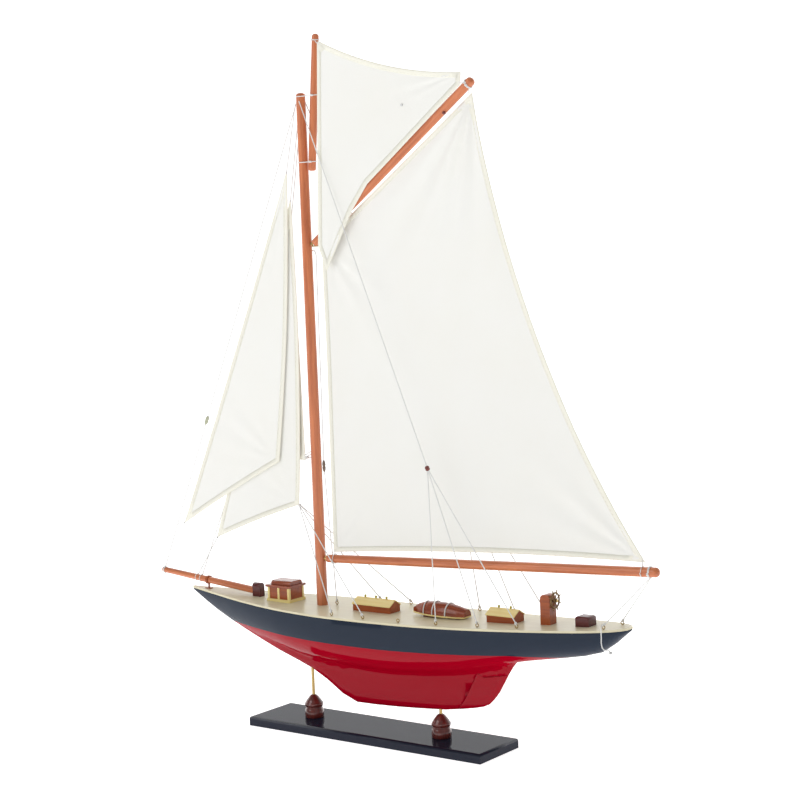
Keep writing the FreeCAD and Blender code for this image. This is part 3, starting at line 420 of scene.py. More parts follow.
def make_weave_group():
    """Plain weave of cloth standing in the X-Z plane, with slubs and faint shade."""
    tree, source, out = group(
        "Cloth weave",
        [("Cloth", "NodeSocketColor", (0.9, 0.9, 0.85, 1)),
         ("Shade", "NodeSocketColor", (0.8, 0.78, 0.7, 1)),
         ("Threads", "NodeSocketFloat", 1500.0)],
        [("Color", "NodeSocketColor"), ("Height", "NodeSocketFloat")])
    where = place_of(tree)
    warp, weft = (
        add(tree, "ShaderNodeTexWave", {"bands_direction": way, "wave_profile": "SIN"},
            Vector=where, Scale=source.outputs["Threads"], Distortion=0.6,
            Detail=1.0).outputs["Fac"]
        for way in ("X", "Z"))
    slubs = calc(tree, "ADD", stretched_noise(tree, where, (0.12, 1, 1.0), 900.0, 2.0),
                 stretched_noise(tree, where, (1.0, 1, 0.12), 900.0, 2.0))
    height = calc(tree, "MULTIPLY_ADD", slubs, 0.5, calc(tree, "MULTIPLY", warp, weft))
    tone = ranged(tree, noise(tree, where, 14.0, 3.0), 0.35, 0.75, 0.30)
    fleck = calc(tree, "MULTIPLY_ADD", slubs, 0.16, tone, clamp=True)
    send(tree, out, Color=mixed(tree, fleck, source.outputs["Cloth"], source.outputs["Shade"]),
         Height=height)
    return tree


def make_finish_group():
    """Hand finish of paint, varnish and metal: soft mottle, dust specks and worn edges."""
    tree, source, out = group(
        "Hand finish",
        [("Color", "NodeSocketColor", (0.5, 0.5, 0.5, 1)),
         ("Worn", "NodeSocketColor", (0.6, 0.6, 0.6, 1)),
         ("Roughness", "NodeSocketFloat", 0.2), ("Mottle", "NodeSocketFloat", 0.06),
         ("Wear", "NodeSocketFloat", 0.4)],
        [("Color", "NodeSocketColor"), ("Roughness", "NodeSocketFloat"),
         ("Height", "NodeSocketFloat")])
    where = place_of(tree)
    edge = tree.nodes.new("ShaderNodeNewGeometry").outputs["Pointiness"]
    broken = calc(tree, "MULTIPLY", ranged(tree, edge, 0.54, 0.66),
                  noise(tree, where, 260.0, 5.0))
    wear = calc(tree, "MULTIPLY", broken, source.outputs["Wear"], clamp=True)
    centred = calc(tree, "SUBTRACT", noise(tree, where, 32.0, 4.0), 0.5)
    uneven = calc(tree, "MULTIPLY_ADD", centred, source.outputs["Mottle"],
                  source.outputs["Roughness"])
    send(tree, out, Color=mixed(tree, wear, source.outputs["Color"], source.outputs["Worn"]),
         Roughness=calc(tree, "MULTIPLY_ADD", wear, 0.2, uneven, clamp=True),
         Height=noise(tree, where, 420.0, 2.0))
    return tree


GROUPS = {}


def use_group(tree, maker, **values):
    """A node of the shared group, which is built the first time it is asked for."""
    if maker not in GROUPS:
        GROUPS[maker] = maker()
    node = tree.nodes.new("ShaderNodeGroup")
    node.node_tree = GROUPS[maker]
    for key, value in values.items():
        feed(tree, node.inputs[key], value)
    return node


# ------------------------------------------------------------------ materials
def blank_material(name, **principled):
    """Material with a Principled shader whose constant sockets are set by name."""
    material = bpy.data.materials.new(name)
    material.use_nodes = True
    tree = material.node_tree
    shader = tree.nodes["Principled BSDF"]
    for key, value in principled.items():
        shader.inputs[key.replace("_", " ")].default_value = value
    return material, tree, shader


def toned(base, gain, lift=0.0):
    """The colour made lighter or darker."""
    return tuple(min(1, c * gain + lift) for c in base[:3]) + (1,)


def finished(tree, shader, **values):
    """Hand finish linked to the shader's colour and roughness."""
    finish = use_group(tree, make_finish_group, **values)
    tree.links.new(finish.outputs["Color"], shader.inputs["Base Color"])
    tree.links.new(finish.outputs["Roughness"], shader.inputs["Roughness"])
    return finish


def bump(tree, shader, height, strength, distance):
    """Relief from a height, distance millimetres deep."""
    node = add(tree, "ShaderNodeBump", Strength=strength, Distance=distance * MM, Height=height)
    tree.links.new(node.outputs[0], shader.inputs["Normal"])


def wood(name, light, dark, stretch, scale=240.0, strength=0.6, coat=0.3, roughness=0.3):
    """Varnished wood with its grain along the axis that stretch makes long."""
    material, tree, shader = blank_material(name, Coat_Weight=coat, Coat_Roughness=0.12,
                                            Specular_IOR_Level=0.25)
    grain = use_group(tree, make_grain_group, Wood=light, Dark=dark, Stretch=stretch,
                      Scale=scale, Strength=strength)
    finished(tree, shader, Color=grain.outputs["Color"], Worn=toned(light, 1.25),
             Roughness=roughness, Mottle=0.10, Wear=0.5)
    bump(tree, shader, grain.outputs["Height"], 0.35, 0.03)
    return material


def paint(name, base, roughness=0.10, coat=0.35):
    """Sprayed gloss paint over wood; all of its shine comes from the clear coat."""
    material, tree, shader = blank_material(name, Coat_Weight=coat, Coat_Roughness=0.05,
                                            Specular_IOR_Level=0.0)
    finish = finished(tree, shader, Color=base, Worn=toned(base, 1.5, 0.03),
                      Roughness=roughness, Mottle=0.08, Wear=0.35)
    bump(tree, shader, finish.outputs["Height"], 0.10, 0.02)
    return material


def metal(name, base, roughness=0.24):
    """Cast or turned metal, brighter along its worn edges."""
    material, tree, shader = blank_material(name, Metallic=1.0)
    finish = finished(tree, shader, Color=base, Worn=toned(base, 1.3), Roughness=roughness,
                      Mottle=0.22, Wear=0.8)
    bump(tree, shader, finish.outputs["Height"], 0.15, 0.02)
    return material


def cloth(name, base, shade):
    """Woven sail cloth with a faint painted glow that lifts its shade, standing in for light let
    through the cloth.
    """
    material, tree, shader = blank_material(name, Roughness=0.85, Sheen_Weight=0.12,
                                            Sheen_Roughness=0.5, Specular_IOR_Level=0.2,
                                            Emission_Strength=0.08)
    weave = use_group(tree, make_weave_group, Cloth=base, Shade=shade, Threads=1500.0)
    # painted glow: the weave colour also feeds the emission, so the cloth's shaded side shows
    # lighter
    for label in ("Base Color", "Emission Color"):
        tree.links.new(weave.outputs["Color"], shader.inputs[label])
    bump(tree, shader, weave.outputs["Height"], 0.35, 0.05)
    return material


def cordage(name, base):
    """Laid cord: fine fuzz over the modelled strands."""
    material, tree, shader = blank_material(name, Roughness=0.8, Sheen_Weight=0.2,
                                            Specular_IOR_Level=0.25)
    fuzz = noise(tree, place_of(tree), 2600.0, 3.0)
    tree.links.new(mixed(tree, fuzz, base, toned(base, 0.88)), shader.inputs["Base Color"])
    bump(tree, shader, fuzz, 0.5, 0.05)
    return material


def hull_material():
    """Navy topsides over a crimson bottom, divided at a waterline that rises aft."""
    material, tree, shader = blank_material("Hull paint", Coat_Weight=0.3, Coat_Roughness=0.06,
                                            Specular_IOR_Level=0.0)
    where = place_of(tree)
    split = add(tree, "ShaderNodeSeparateXYZ", Vector=where)
    ragged = noise(tree, where, 90.0, 2.0)
    rise_start, rise_end, ragged_by, paint_edge = 0.010, 0.175, 0.0005, 0.0003
    aft = calc(tree, "POWER", ranged(tree, split.outputs["X"], rise_start, rise_end), 1.6)
    level = calc(tree, "MULTIPLY_ADD", aft, -sizes().waterline_rise, split.outputs["Z"])
    level = calc(tree, "MULTIPLY_ADD", ragged, ragged_by, level)
    above = ranged(tree, level, sizes().waterline, sizes().waterline + paint_edge)
    finish = finished(tree, shader,
                      Color=mixed(tree, above, colours().bottom, colours().topsides),
                      Worn=(0.25, 0.20, 0.22, 1), Roughness=0.12, Mottle=0.08, Wear=0.12)
    bump(tree, shader, finish.outputs["Height"], 0.10, 0.02)
    return material


MATERIALS = {}


def material(name):
    """Materials by the name of the finish, each made once."""
    if name not in MATERIALS:
        MATERIALS[name] = MAKERS[name]()
    return MATERIALS[name]


def tone(name):
    """One of the user's colours."""
    return tuple(getattr(colours(), name))


LENGTHWISE, UPRIGHT = (0.06, 1, 1), (1, 1, 0.06)     # which way the grain runs
MAKERS = {
    "hull": hull_material,
    "rudder": lambda: paint("Rudder paint", tone("bottom")),
    "base": lambda: paint("Base lacquer", tone("base"), roughness=0.06, coat=0.4),
    "deck": lambda: wood("Deck wood", tone("deck"), (0.56, 0.48, 0.33, 1), LENGTHWISE,
                         scale=300.0, strength=0.35, coat=0.25, roughness=0.4),
    "post": lambda: wood("Post wood", tone("post"), (0.04, 0.008, 0.008, 1), UPRIGHT,
                         scale=300.0, coat=0.9, roughness=0.18),
    "mahogany": lambda: wood("Mahogany", tone("mahogany"), (0.045, 0.006, 0.005, 1),
                             LENGTHWISE, scale=380.0, strength=0.7),
    "panel": lambda: wood("Panel wood", tone("panel"), (0.22, 0.038, 0.008, 1), LENGTHWISE,
                          scale=420.0, strength=0.65),
    "cream": lambda: wood("Cream wood", tone("cream"), (0.78, 0.58, 0.20, 1), LENGTHWISE,
                          scale=420.0, strength=0.4, coat=0.4, roughness=0.35),
    "spar": lambda: wood("Spar wood", tone("spar"), tone("spar_dark"), LENGTHWISE,
                         scale=260.0, coat=0.4),
    "boat": lambda: wood("Boat wood", (0.33, 0.065, 0.018, 1), (0.15, 0.022, 0.008, 1),
                         LENGTHWISE, scale=420.0, strength=0.7, coat=0.45, roughness=0.24),
    "brass": lambda: metal("Brass", tone("brass")),
    "knob": lambda: metal("Knob brass", (0.50, 0.44, 0.12, 1), roughness=0.45),
    "bronze": lambda: metal("Wheel bronze", (0.22, 0.14, 0.065, 1), roughness=0.4),
    "steel": lambda: metal("Steel", (0.52, 0.52, 0.52, 1)),
    "sail": lambda: cloth("Sail cloth", tone("sail"), (0.78, 0.77, 0.71, 1)),
    "hem": lambda: cloth("Hem cloth", tone("hem"), (0.77, 0.75, 0.64, 1)),
    "stitch": lambda: cordage("Stitching thread", (0.78, 0.765, 0.69, 1)),
    "cord": lambda: cordage("White cord", tone("cord")),
    "bead": lambda: wood("Bead wood", (0.22, 0.055, 0.040, 1), (0.10, 0.02, 0.02, 1), UPRIGHT,
                         scale=500.0),
    "olive_bead": lambda: wood("Olive bead", (0.50, 0.52, 0.38, 1), (0.34, 0.35, 0.25, 1),
                               UPRIGHT, scale=500.0),
    "grey_bead": lambda: wood("Grey bead", (0.24, 0.18, 0.14, 1), (0.13, 0.09, 0.07, 1),
                              UPRIGHT, scale=500.0),
}


# ------------------------------------------------------------------ stand
# outline of a turned post: (share of its height, share of its radius) from the board up
POST_SHARES = ((0, 0.91), (0.01, 0.93), (0.10, 0.95), (0.22, 0.95), (0.32, 0.915), (0.38, 0.86),
               (0.42, 0.83), (0.46, 0.83), (0.48, 0.80), (0.50, 0.87), (0.54, 0.91),
               (0.60, 0.92), (0.65, 0.90), (0.68, 0.82), (0.74, 0.76), (0.80, 0.66),
               (0.86, 0.55), (0.91, 0.46), (0.95, 0.38), (0.98, 0.30), (1.0, 0.24))


class YACHT_OT_stand(bpy.types.Operator):
    """Lacquered board, turned posts, brass pins and the screws under the board"""
    bl_idname = "yacht.stand"
    bl_label = "Stand"

    def execute(self, context):
        dress("stand_board", material("base"))
        for end in ("front", "aft"):
            low, high = (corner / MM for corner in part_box(end + "_post"))
            centre = (low + high) / 2
            tall = high.z - low.z
            wide = (high.x - low.x) / 2
            form = Form()
            lathe(form, [(share * tall, radius * wide) for share, radius in POST_SHARES],
                  Vector((centre.x, 0, low.z)), UP, 56)
            piece(end + "_turned_post", form, material("post"), "stand",
                  [end + "_post"])
            dress(end + "_pin", material("brass"))
        dress("stand_screws", material("steel"))
        return {"FINISHED"}


# ------------------------------------------------------------------ hull
class YACHT_OT_hull(bpy.types.Operator):
    """Painted hull and rudder, and the pale wooden deck"""
    bl_idname = "yacht.hull"
    bl_label = "Hull"

    def execute(self, context):
        dress("hull", material("hull"))
        dress("rudder", material("rudder"))
        dress("rudder_stock", material("brass"))
        dress("deck", material("deck"))
        return {"FINISHED"}


# ------------------------------------------------------------------ deck fittings
class YACHT_OT_fittings(bpy.types.Operator):
    """Bitt post, deckhouse, skylights, lifeboat, wheel pedestal, hatch and deck eyes"""
    bl_idname = "yacht.fittings"
    bl_label = "Deck fittings"

    def execute(self, context):
        finishes = {
            "bitt_post": ("mahogany", 0.3), "gammon_iron": ("panel", 0.15),
            "deckhouse_plinth": ("cream", 0.3), "deckhouse_posts": ("cream", 0.2),
            "deckhouse_walls": ("panel", 0.2), "deckhouse_roof": ("boat", 0.4),
            "skylight_forward_box": ("panel", 0.2), "skylight_forward_roof": ("cream", 0.25),
            "skylight_forward_knobs": ("knob", 0), "skylight_aft_box": ("panel", 0.2),
            "skylight_aft_roof": ("cream", 0.25), "skylight_aft_knobs": ("knob", 0),
            "lifeboat_hull": ("boat", 0), "lifeboat_gunwale": ("cream", 0.25),
            "lifeboat_chocks": ("mahogany", 0.25), "lifeboat_lashing": ("cord", 0),
            "wheel_pedestal": ("panel", 0.3), "wheel_axle": ("brass", 0),
            "aft_hatch": ("mahogany", 0.2), "deck_eyes": ("brass", 0),
        }
        for node, (finish, bevel) in finishes.items():
            dress(node, material(finish), bevel)
        return {"FINISHED"}


class YACHT_OT_wheel(bpy.types.Operator):
    """Ship's wheel with turned spokes and handles"""
    bl_idname = "yacht.wheel"
    bl_label = "Ship's wheel"

    def execute(self, context):
        dress("ships_wheel", material("bronze"))
        return {"FINISHED"}


# ------------------------------------------------------------------ spars
MAST_FOOT, MAST_HEAD = Vector((-65, 0, 104)), Vector((-65, 0, 639.5))
TOPMAST_FOOT, TOPMAST_HEAD = Vector((-54.3, 0, 562)), Vector((-42.8, 0, 695))
BOOM_START, BOOM_END = Vector((-56.1, 0, 174.8)), Vector((318, 0, 189.6))
GAFF_START, GAFF_END = Vector((-55.4, 0, 490.4)), Vector((138.5, 0, 632.6))
SPRIT_HEEL, SPRIT_TIP = Vector((-152.5, 0, 133.6)), Vector((-288, 0, 146.2))
BOOM_RADIUS, GAFF_RADIUS, TOPMAST_RADIUS = 4.5, 4.4, 3.9


def on_spar(start, end, x):
    """Point on the spar's axis at that X."""
    return start + (end - start) * ((x - start.x) / (end.x - start.x))


def mast_radius(z):
    share = (z - MAST_FOOT.z) / (MAST_HEAD.z - MAST_FOOT.z)
    return 5.6 - 0.9 * share


def sprit_radius(x):
    return 3.7 - 0.8 * (SPRIT_HEEL.x - x) / (SPRIT_HEEL.x - SPRIT_TIP.x)


def rounded_end(length, radius, reach, steps=7):
    """Profile of a spar's end rounded over reach, up to the full length."""
    rows = []
    for k in range(1, steps + 1):
        turn = math.pi / 2 * k / steps
        rows.append((length - reach * (1 - math.sin(turn)), max(0.02, radius * math.cos(turn))))
    return rows


def spar(name, start, end, radii, body, node, round_by, overrun=0.0):
    """Planed spar: radii at even shares of its length, both ends rounded by round_by."""
    way = end - start
    length = way.length + overrun
    body_end = length - round_by[1]
    profile = [(length - along, radius) for along, radius
               in reversed(rounded_end(length, radii[0], round_by[0], 4))]
    stations = 48
    for k in range(stations + 1):
        share = k / stations
        along = round_by[0] + (body_end - round_by[0]) * share
        place = share * (len(radii) - 1)
        low = min(int(place), len(radii) - 2)
        radius = radii[low] + (radii[low + 1] - radii[low]) * (place - low)
        profile.append((along, radius * (1 + 0.006 * math.sin(along * 0.21))))
    profile += rounded_end(length, radii[-1], round_by[1])
    form = Form()
    lathe(form, profile, Vector((0, 0, 0)), Vector((1, 0, 0)), 40)
    obj = piece(name, form, material("spar"), None, [node])
    obj.rotation_mode = "QUATERNION"
    obj.rotation_quaternion = way.to_track_quat("X", "Z")
    obj.location = start * MM
    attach(obj, body)


class YACHT_OT_spars(bpy.types.Operator):
    """Mast, topmast, bowsprit, boom and gaff with their pins and eyes"""
    bl_idname = "yacht.spars"
    bl_label = "Spars"

    def execute(self, context):
        spar("mast_spar", MAST_FOOT, MAST_HEAD, (5.6, 5.4, 5.2, 5.0, 4.7), "hull", "mast",
             (0.3, 2.6))
        spar("topmast_spar", TOPMAST_FOOT, TOPMAST_HEAD, (3.85, 4.0, 3.8, 3.5), "hull",
             "topmast", (1.6, 2.8))
        spar("bowsprit_spar", SPRIT_HEEL, SPRIT_TIP, (3.7, 3.4, 2.9), "hull", "bowsprit",
             (0.1, 1.2))
        spar("boom_spar", BOOM_START, BOOM_END, (4.1, 4.5, 4.5, 4.5), "main_rig", "boom",
             (1.5, 3.8), BOOM_RADIUS - 0.2)
        spar("gaff_spar", GAFF_START, GAFF_END, (4.1, 4.4, 4.4, 4.4), "main_rig", "gaff",
             (1.5, 3.6), GAFF_RADIUS - 0.2)
        for node in ("mast_eyes", "rig_pins"):
            dress(node, material("brass"))
        return {"FINISHED"}


# ------------------------------------------------------------------ sails
def bowed(start, end, depth, steps=60):
    """Shallow arc from start to end in X and Z, bending to the left of its way by depth."""
    start, end = np.array(start, float), np.array(end, float)
    way = end - start
    left = np.array((-way[1], way[0])) / np.linalg.norm(way)
    share = np.linspace(0, 1, steps + 1)[:, None]
    return start + way * share + left * depth * 4 * share * (1 - share)


def resampled(points, count):
    """The polyline at count + 1 places evenly spaced along it."""
    return points_at(points, np.linspace(0, distances(points)[-1], count + 1))


def inset(outline, reach):
    """The closed outline moved inwards by reach, with mitred corners that don't cross over."""
    before, after = np.roll(outline, 1, axis=0), np.roll(outline, -1, axis=0)

    def left(way):
        way = way / np.maximum(np.linalg.norm(way, axis=1), 1e-9)[:, None]
        return np.column_stack((-way[:, 1], way[:, 0]))
    one, two = left(outline - before), left(after - outline)
    area = np.sum(outline[:, 0] * after[:, 1] - after[:, 0] * outline[:, 1])
    mitre = one + two
    mitre /= np.maximum(np.sum(mitre * one, axis=1), 0.35)[:, None]
    moved = outline + mitre * reach * np.sign(area)
    if reach > 1:       # a corner's points land past each other, so each takes a good neighbour
        edge = after - outline
        away = moved[:, None, :] - outline[None, :, :]
        share = np.sum(away * edge, axis=2) / np.maximum(np.sum(edge * edge, axis=1), 1e-9)
        away = away - np.clip(share, 0, 1)[:, :, None] * edge
        good = np.flatnonzero(np.linalg.norm(away, axis=2).min(axis=1) > reach * 0.96)
        count = len(outline)
        turn = np.abs(good[None, :] - np.arange(count)[:, None])
        moved = moved[good[np.argmin(np.minimum(turn, count - turn), axis=1)]]
    return moved


class Cloth:
    """A sail: two edges that its cloths run between, and how far it stands off at each point."""

    def __init__(self, name, near, far, foot_rise=0.0, side=0.0, creases=(), belly=None):
        self.name = name
        self.near, self.far = np.asarray(near, float), np.asarray(far, float)
        self.foot_rise, self.side = foot_rise, side
        self.creases, self.belly = creases, belly

    def depth(self, x, z):
        """Y of the cloth's middle at that X and Z: belly, radiating creases and soft folds."""
        y = np.full(np.shape(x), self.side, float)
        if self.belly:
            (cx, cz), (rx, rz), full = self.belly
            y = y + full * np.exp(-((x - cx) / rx) ** 2 - ((z - cz) / rz) ** 2)
        for (cx, cz), aim, spread, count, height, fade in self.creases:
            dx, dz = x - cx, z - cz
            reach = np.hypot(dx, dz)
            turn = np.arctan2(dz, dx) - math.radians(aim)
            turn = (turn + np.pi) % (2 * np.pi) - np.pi
            width = math.radians(spread)
            ripple = np.sin(turn / width * np.pi * count + 0.006 * reach)
            start = 1 - np.exp(-(reach / 16) ** 2)
            y = y + height * ripple * start * np.exp(-(turn / width) ** 2 - (reach / fade) ** 2)
        soft = (np.sin(x * 0.041 + z * 0.013 + 1.3) * np.sin(z * 0.029 - x * 0.011)
                + 0.5 * np.sin(x * 0.093 - z * 0.037))
        return y + 0.16 * soft

    def points(self, across, along):
        """Grid of X and Z, rows from foot to head."""
        near, far = resampled(self.near, along), resampled(self.far, along)
        share = np.linspace(0, 1, across + 1)[None, :, None]
        grid = near[:, None, :] * (1 - share) + far[:, None, :] * share
        up = np.linspace(0, 1, along + 1)[:, None]
        grid[:, :, 1] += (self.foot_rise * 4 * share[:, :, 0] * (1 - share[:, :, 0])
                          * (1 - up) ** 4)
        return grid

    def outline(self, step=2.5):
        grid = self.points(80, 160)
        ring = np.vstack((grid[:, 0], grid[-1, 1:], grid[::-1, -1][1:], grid[0, ::-1][1:-1]))
        corners = [grid[0, 0], grid[-1, 0], grid[-1, -1], grid[0, -1]]
        keep = [ring[0]]
        for point in ring[1:]:
            gap = np.linalg.norm(point - keep[-1])
            at_corner = min(np.linalg.norm(point - c) for c in corners) < 1e-6
            if gap >= step or (at_corner and gap > 0.3):
                keep.append(point)
        if np.linalg.norm(keep[-1] - keep[0]) < step * 0.6:
            keep.pop()
        return np.array(keep)

    def area(self):
        ring = self.outline()
        after = np.roll(ring, -1, axis=0)
        return abs(np.sum(ring[:, 0] * after[:, 1] - after[:, 0] * ring[:, 1])) / 2


def cloth_sheet(cloth, body, node):
    """The sail itself as a thin closed sheet."""
    wide = max(np.ptp(np.r_[cloth.near[:, 0], cloth.far[:, 0]]), 60)
    tall = max(np.ptp(cloth.near[:, 1]), np.ptp(cloth.far[:, 1]), 120)
    across, along = int(wide / 3.2), int(tall / 3.4)
    grid = cloth.points(across, along)
    y = cloth.depth(grid[:, :, 0], grid[:, :, 1])
    half = sizes().cloth / MM / 2
    rows, cols = y.shape
    verts = []
    for side in (-1, 1):
        verts += np.stack((grid[:, :, 0], y + side * half, grid[:, :, 1]), axis=2).reshape(
            -1, 3).tolist()
    faces = []
    count = rows * cols
    for r in range(rows - 1):
        for c in range(cols - 1):
            a = r * cols + c
            faces.append((a, a + 1, a + cols + 1, a + cols))
            faces.append((count + a, count + a + cols, count + a + cols + 1, count + a + 1))
    ring = (list(range(cols)) + [r * cols + cols - 1 for r in range(1, rows)]
            + [(rows - 1) * cols + c for c in range(cols - 2, -1, -1)]
            + [r * cols for r in range(rows - 2, 0, -1)])
    for a, b in zip(ring, ring[1:] + ring[:1]):
        faces.append((b, a, a + count, b + count))
    form = Form()
    form.add(verts, faces)
    return piece(cloth.name + "_cloth", form, material("sail"), body, [node])


def hem_band(cloth, body):
    """Turned hem that wraps the sail's edge all round."""
    edge = cloth.outline()
    width = sizes().hem / MM
    half = sizes().cloth / MM / 2
    inner = inset(edge, width)
    outer = inset(edge, -0.25)
    shoulder = inset(edge, 0.35)
    profile = [(inner, -half - 0.02), (inner, -half - 0.11), (shoulder, -half - 0.15),
               (outer, -half * 0.5), (outer, half * 0.5), (shoulder, half + 0.15),
               (inner, half + 0.11), (inner, half + 0.02)]
    count = len(edge)
    verts = []
    for k in range(count):
        for line, off in profile:
            x, z = line[k]
            verts.append((x, float(cloth.depth(x, z)) + off, z))
    sides = len(profile)
    faces = []
    for k in range(count):
        for s in range(sides):
            a, b = k * sides + s, k * sides + (s + 1) % sides
            c = ((k + 1) % count) * sides
            faces.append((a, b, c + (s + 1) % sides, c + s))
    form = Form()
    form.add(verts, faces)
    return piece(cloth.name + "_hem", form, material("hem"), body,
                 auto_angle=40)


def hem_stitches(cloth, body):
    """Running stitch just outside the hem's inner edge, in and out of the cloth."""
    step, stitch_pair, thickness = 0.55, 4.4, 0.13
    line = inset(cloth.outline(), sizes().hem / MM - 1.1)
    line = np.vstack((line, line[:1]))
    at = np.arange(0, distances(line)[-1], step)
    x, z = points_at(line, at).T
    half = sizes().cloth / MM / 2 + 0.22
    y = cloth.depth(x, z) + half * np.clip(1.7 * np.sin(2 * np.pi * at / stitch_pair), -1, 1)
    form = Form()
    thread(form, np.column_stack((x, y, z)), thickness, lay=50, step=step, sides=6)
    return piece(cloth.name + "_stitches", form, material("stitch"), body)


def sail(cloth, node, body, flat):
    """The sheet, its hem and its stitches of one sail."""
    sheet = cloth_sheet(cloth, body, node)
    extras = [hem_band(cloth, body), hem_stitches(cloth, body)]
    cloth.area() * MM * MM


MAIN_TACK, MAIN_THROAT = (-47.5, 182), (-46.5, 490.3)
MAIN_PEAK, MAIN_CLEW = (140, 622.6), (308, 197.8)
TOP_TACK, TOP_LUFF, TOP_HEAD = (-36.5, 464), (-46.3, 488), (-36.8, 687.3)
TOP_CLEW, TOP_CLEW_FOOT = (132, 642), (130.8, 630.6)
TOP_FOOT_LOW, TOP_FOOT_HIGH = (-2, 521.5), (17.7, 545.8)
TOP_SIDE, JIB_SIDE, INNER_SIDE = -5.1, -2.4, 2.6     # how far off the centre plane they hang
JIB_TACK, JIB_HEAD, JIB_CLEW = (-250.4, 199), (-86.5, 562), (-112.5, 271)
STAY_TACK, STAY_HEAD, STAY_CLEW = (-206, 186.5), (-85, 534), (-90.5, 227.5)
INNER_TACK, INNER_HEAD, INNER_CLEW = (-171, 274), (-87, 516), (-81.5, 273)


def headsail(name, tack, head, clew, roach, side, creases):
    """Three-cornered sail with a narrow doubled head."""
    top = (head[0] + 1.2, head[1])
    return Cloth(name, bowed(tack, head, -1.5), bowed(clew, top, -roach), 1.5, side, creases)


class YACHT_OT_sails(bpy.types.Operator):
    """The five sails, with hems, stitches and creases"""
    bl_idname = "yacht.sails"
    bl_label = "Sails"

    def execute(self, context):
        belly = ((110, 380), (150, 170), sizes().belly / MM)
        main = Cloth("mainsail", bowed(MAIN_TACK, MAIN_THROAT, 0),
                     bowed(MAIN_CLEW, MAIN_PEAK, 27), 4, 0, (
                         (MAIN_PEAK, -112, 26, 3.0, 1.9, 190),
                         (MAIN_THROAT, -50, 22, 2.0, 0.7, 110),
                         (MAIN_CLEW, 150, 24, 2.5, 0.9, 120),
                         (MAIN_TACK, 50, 24, 2.0, 0.5, 90)), belly)
        sail(main, "mainsail", "main_rig", (0.356, 0.426))
        foot = np.vstack((bowed(TOP_TACK, TOP_FOOT_LOW, 0, 20),
                          bowed(TOP_FOOT_LOW, TOP_FOOT_HIGH, 0, 10)[1:],
                          bowed(TOP_FOOT_HIGH, TOP_CLEW_FOOT, 0)[1:]))
        head = np.vstack((bowed(TOP_LUFF, TOP_HEAD, 0), bowed(TOP_HEAD, TOP_CLEW, -9)[1:]))
        top = Cloth("topsail", foot, head, 0, TOP_SIDE, (
            (TOP_TACK, 70, 20, 2.0, 0.35, 90), (TOP_CLEW, -170, 14, 2.0, 0.30, 80)))
        sail(top, "topsail", "main_rig", (0.180, 0.224))
        jib = headsail("jib", JIB_TACK, JIB_HEAD, JIB_CLEW, 5, JIB_SIDE, (
            (JIB_CLEW, 150, 30, 2.5, 0.45, 100), (JIB_HEAD, -105, 12, 2.0, 0.4, 140)))
        sail(jib, "jib", "hull", (0.155, 0.398))
        stay = headsail("staysail", STAY_TACK, STAY_HEAD, STAY_CLEW, 5, 0, (
            (STAY_CLEW, 150, 30, 2.5, 0.3, 90),))
        sail(stay, "staysail", "hull", (0.122, 0.368))
        inner = headsail("inner_jib", INNER_TACK, INNER_HEAD, INNER_CLEW, 0, INNER_SIDE, (
            (INNER_CLEW, 140, 30, 2.5, 0.4, 80),))
        sail(inner, "inner_jib", "hull", (0.090, 0.256))
        dress("topsail_grommet", material("steel"))
        return {"FINISHED"}


# ------------------------------------------------------------------ lines
EYES = {"sheet_fore": (-21.3, 39.4), "sheet_aft": (17.5, 39.3), "leg_fore": (102.8, 36.6),
        "leg_mid": (147, 32), "leg_aft": (187, 26.2)}
SHEET_EYES = ((271.4, -13.3), (277.4, 10))
MAST_EYE = (-51.5, 6.5)
RING, RING_WIRE = 1.5, 0.45
MASTHEAD_JOINS = (571, 635.5)           # heights where the topmast is lashed to the mast
TOPSAIL_HEAD_WRAP = 127.5               # distance up the topmast
BOOM_WRAP_X, GAFF_WRAP_X = 313, 136.3
SPRIT_END_WRAP_X, SPRIT_WRAPS_X = -284.5, (-237.5, -231.5)
FINE, STOUT = 0.4, 0.5                  # radii of the winding cords
PENDANT_BEAD = (90, 23, 275)
FORESTAY = (Vector((-285, 0, 147.4)), Vector((-70.6, 0, 631)))
HALYARD = (Vector((-57.6, 4.6, 480)), Vector((-58.7, 4, 267.8)), Vector((-51.5, 6.5, 131.6)))


def deck_height(x):
    """Height of the deck's middle at that X."""
    reach = x / 260
    return 126.9 + 1.6 * reach + 7.35 * reach ** 2


def eye_at(place):
    """Centre of the ring of the deck eye at that X and Y."""
    return Vector((place[0], place[1], deck_height(place[0]) + RING + RING_WIRE))


def run(form, *points, start_knot=None, end_knot=None):
    """Taut thread through the points, with a small knot near either end where one is named."""
    points = [Vector(p) for p in points]
    thread(form, points)
    for where, back_from, size in ((points[0], points[1], start_knot),
                                   (points[-1], points[-2], end_knot)):
        if size:
            way = (back_from - where).normalized()
            knot(form, where + way * (size * 1.5), size, direction=way)


def hitched(form, eye, way_in):
    """Loop of thread through a deck eye, closed by the knot of the line that comes in."""
    way = (way_in - eye).normalized()
    top = eye + UP * RING
    steps = 16
    loop = []
    for k in range(steps + 1):
        turn = 2 * math.pi * k / steps
        loop.append(top + way * (0.9 - 1.5 * math.cos(turn))
                    + ACROSS.cross(way) * 0.25 * math.sin(turn)
                    + Vector((0, 0.9 * math.sin(turn), 0)))
    thread(form, loop, step=0.4)


def barrel(form, centre, way, length, radius):
    """Turned toggle threaded on a line, with a groove at its waist."""
    way = way.normalized()
    steps = 20
    profile = []
    for k in range(steps + 1):
        share = k / steps
        swell = math.sin(math.pi * (0.06 + 0.88 * share)) ** 0.45
        waist = 1 - 0.22 * math.exp(-((share - 0.5) / 0.08) ** 2)
        profile.append(((share - 0.5) * length, radius * swell * waist))
    lathe(form, profile, centre, way, 32)


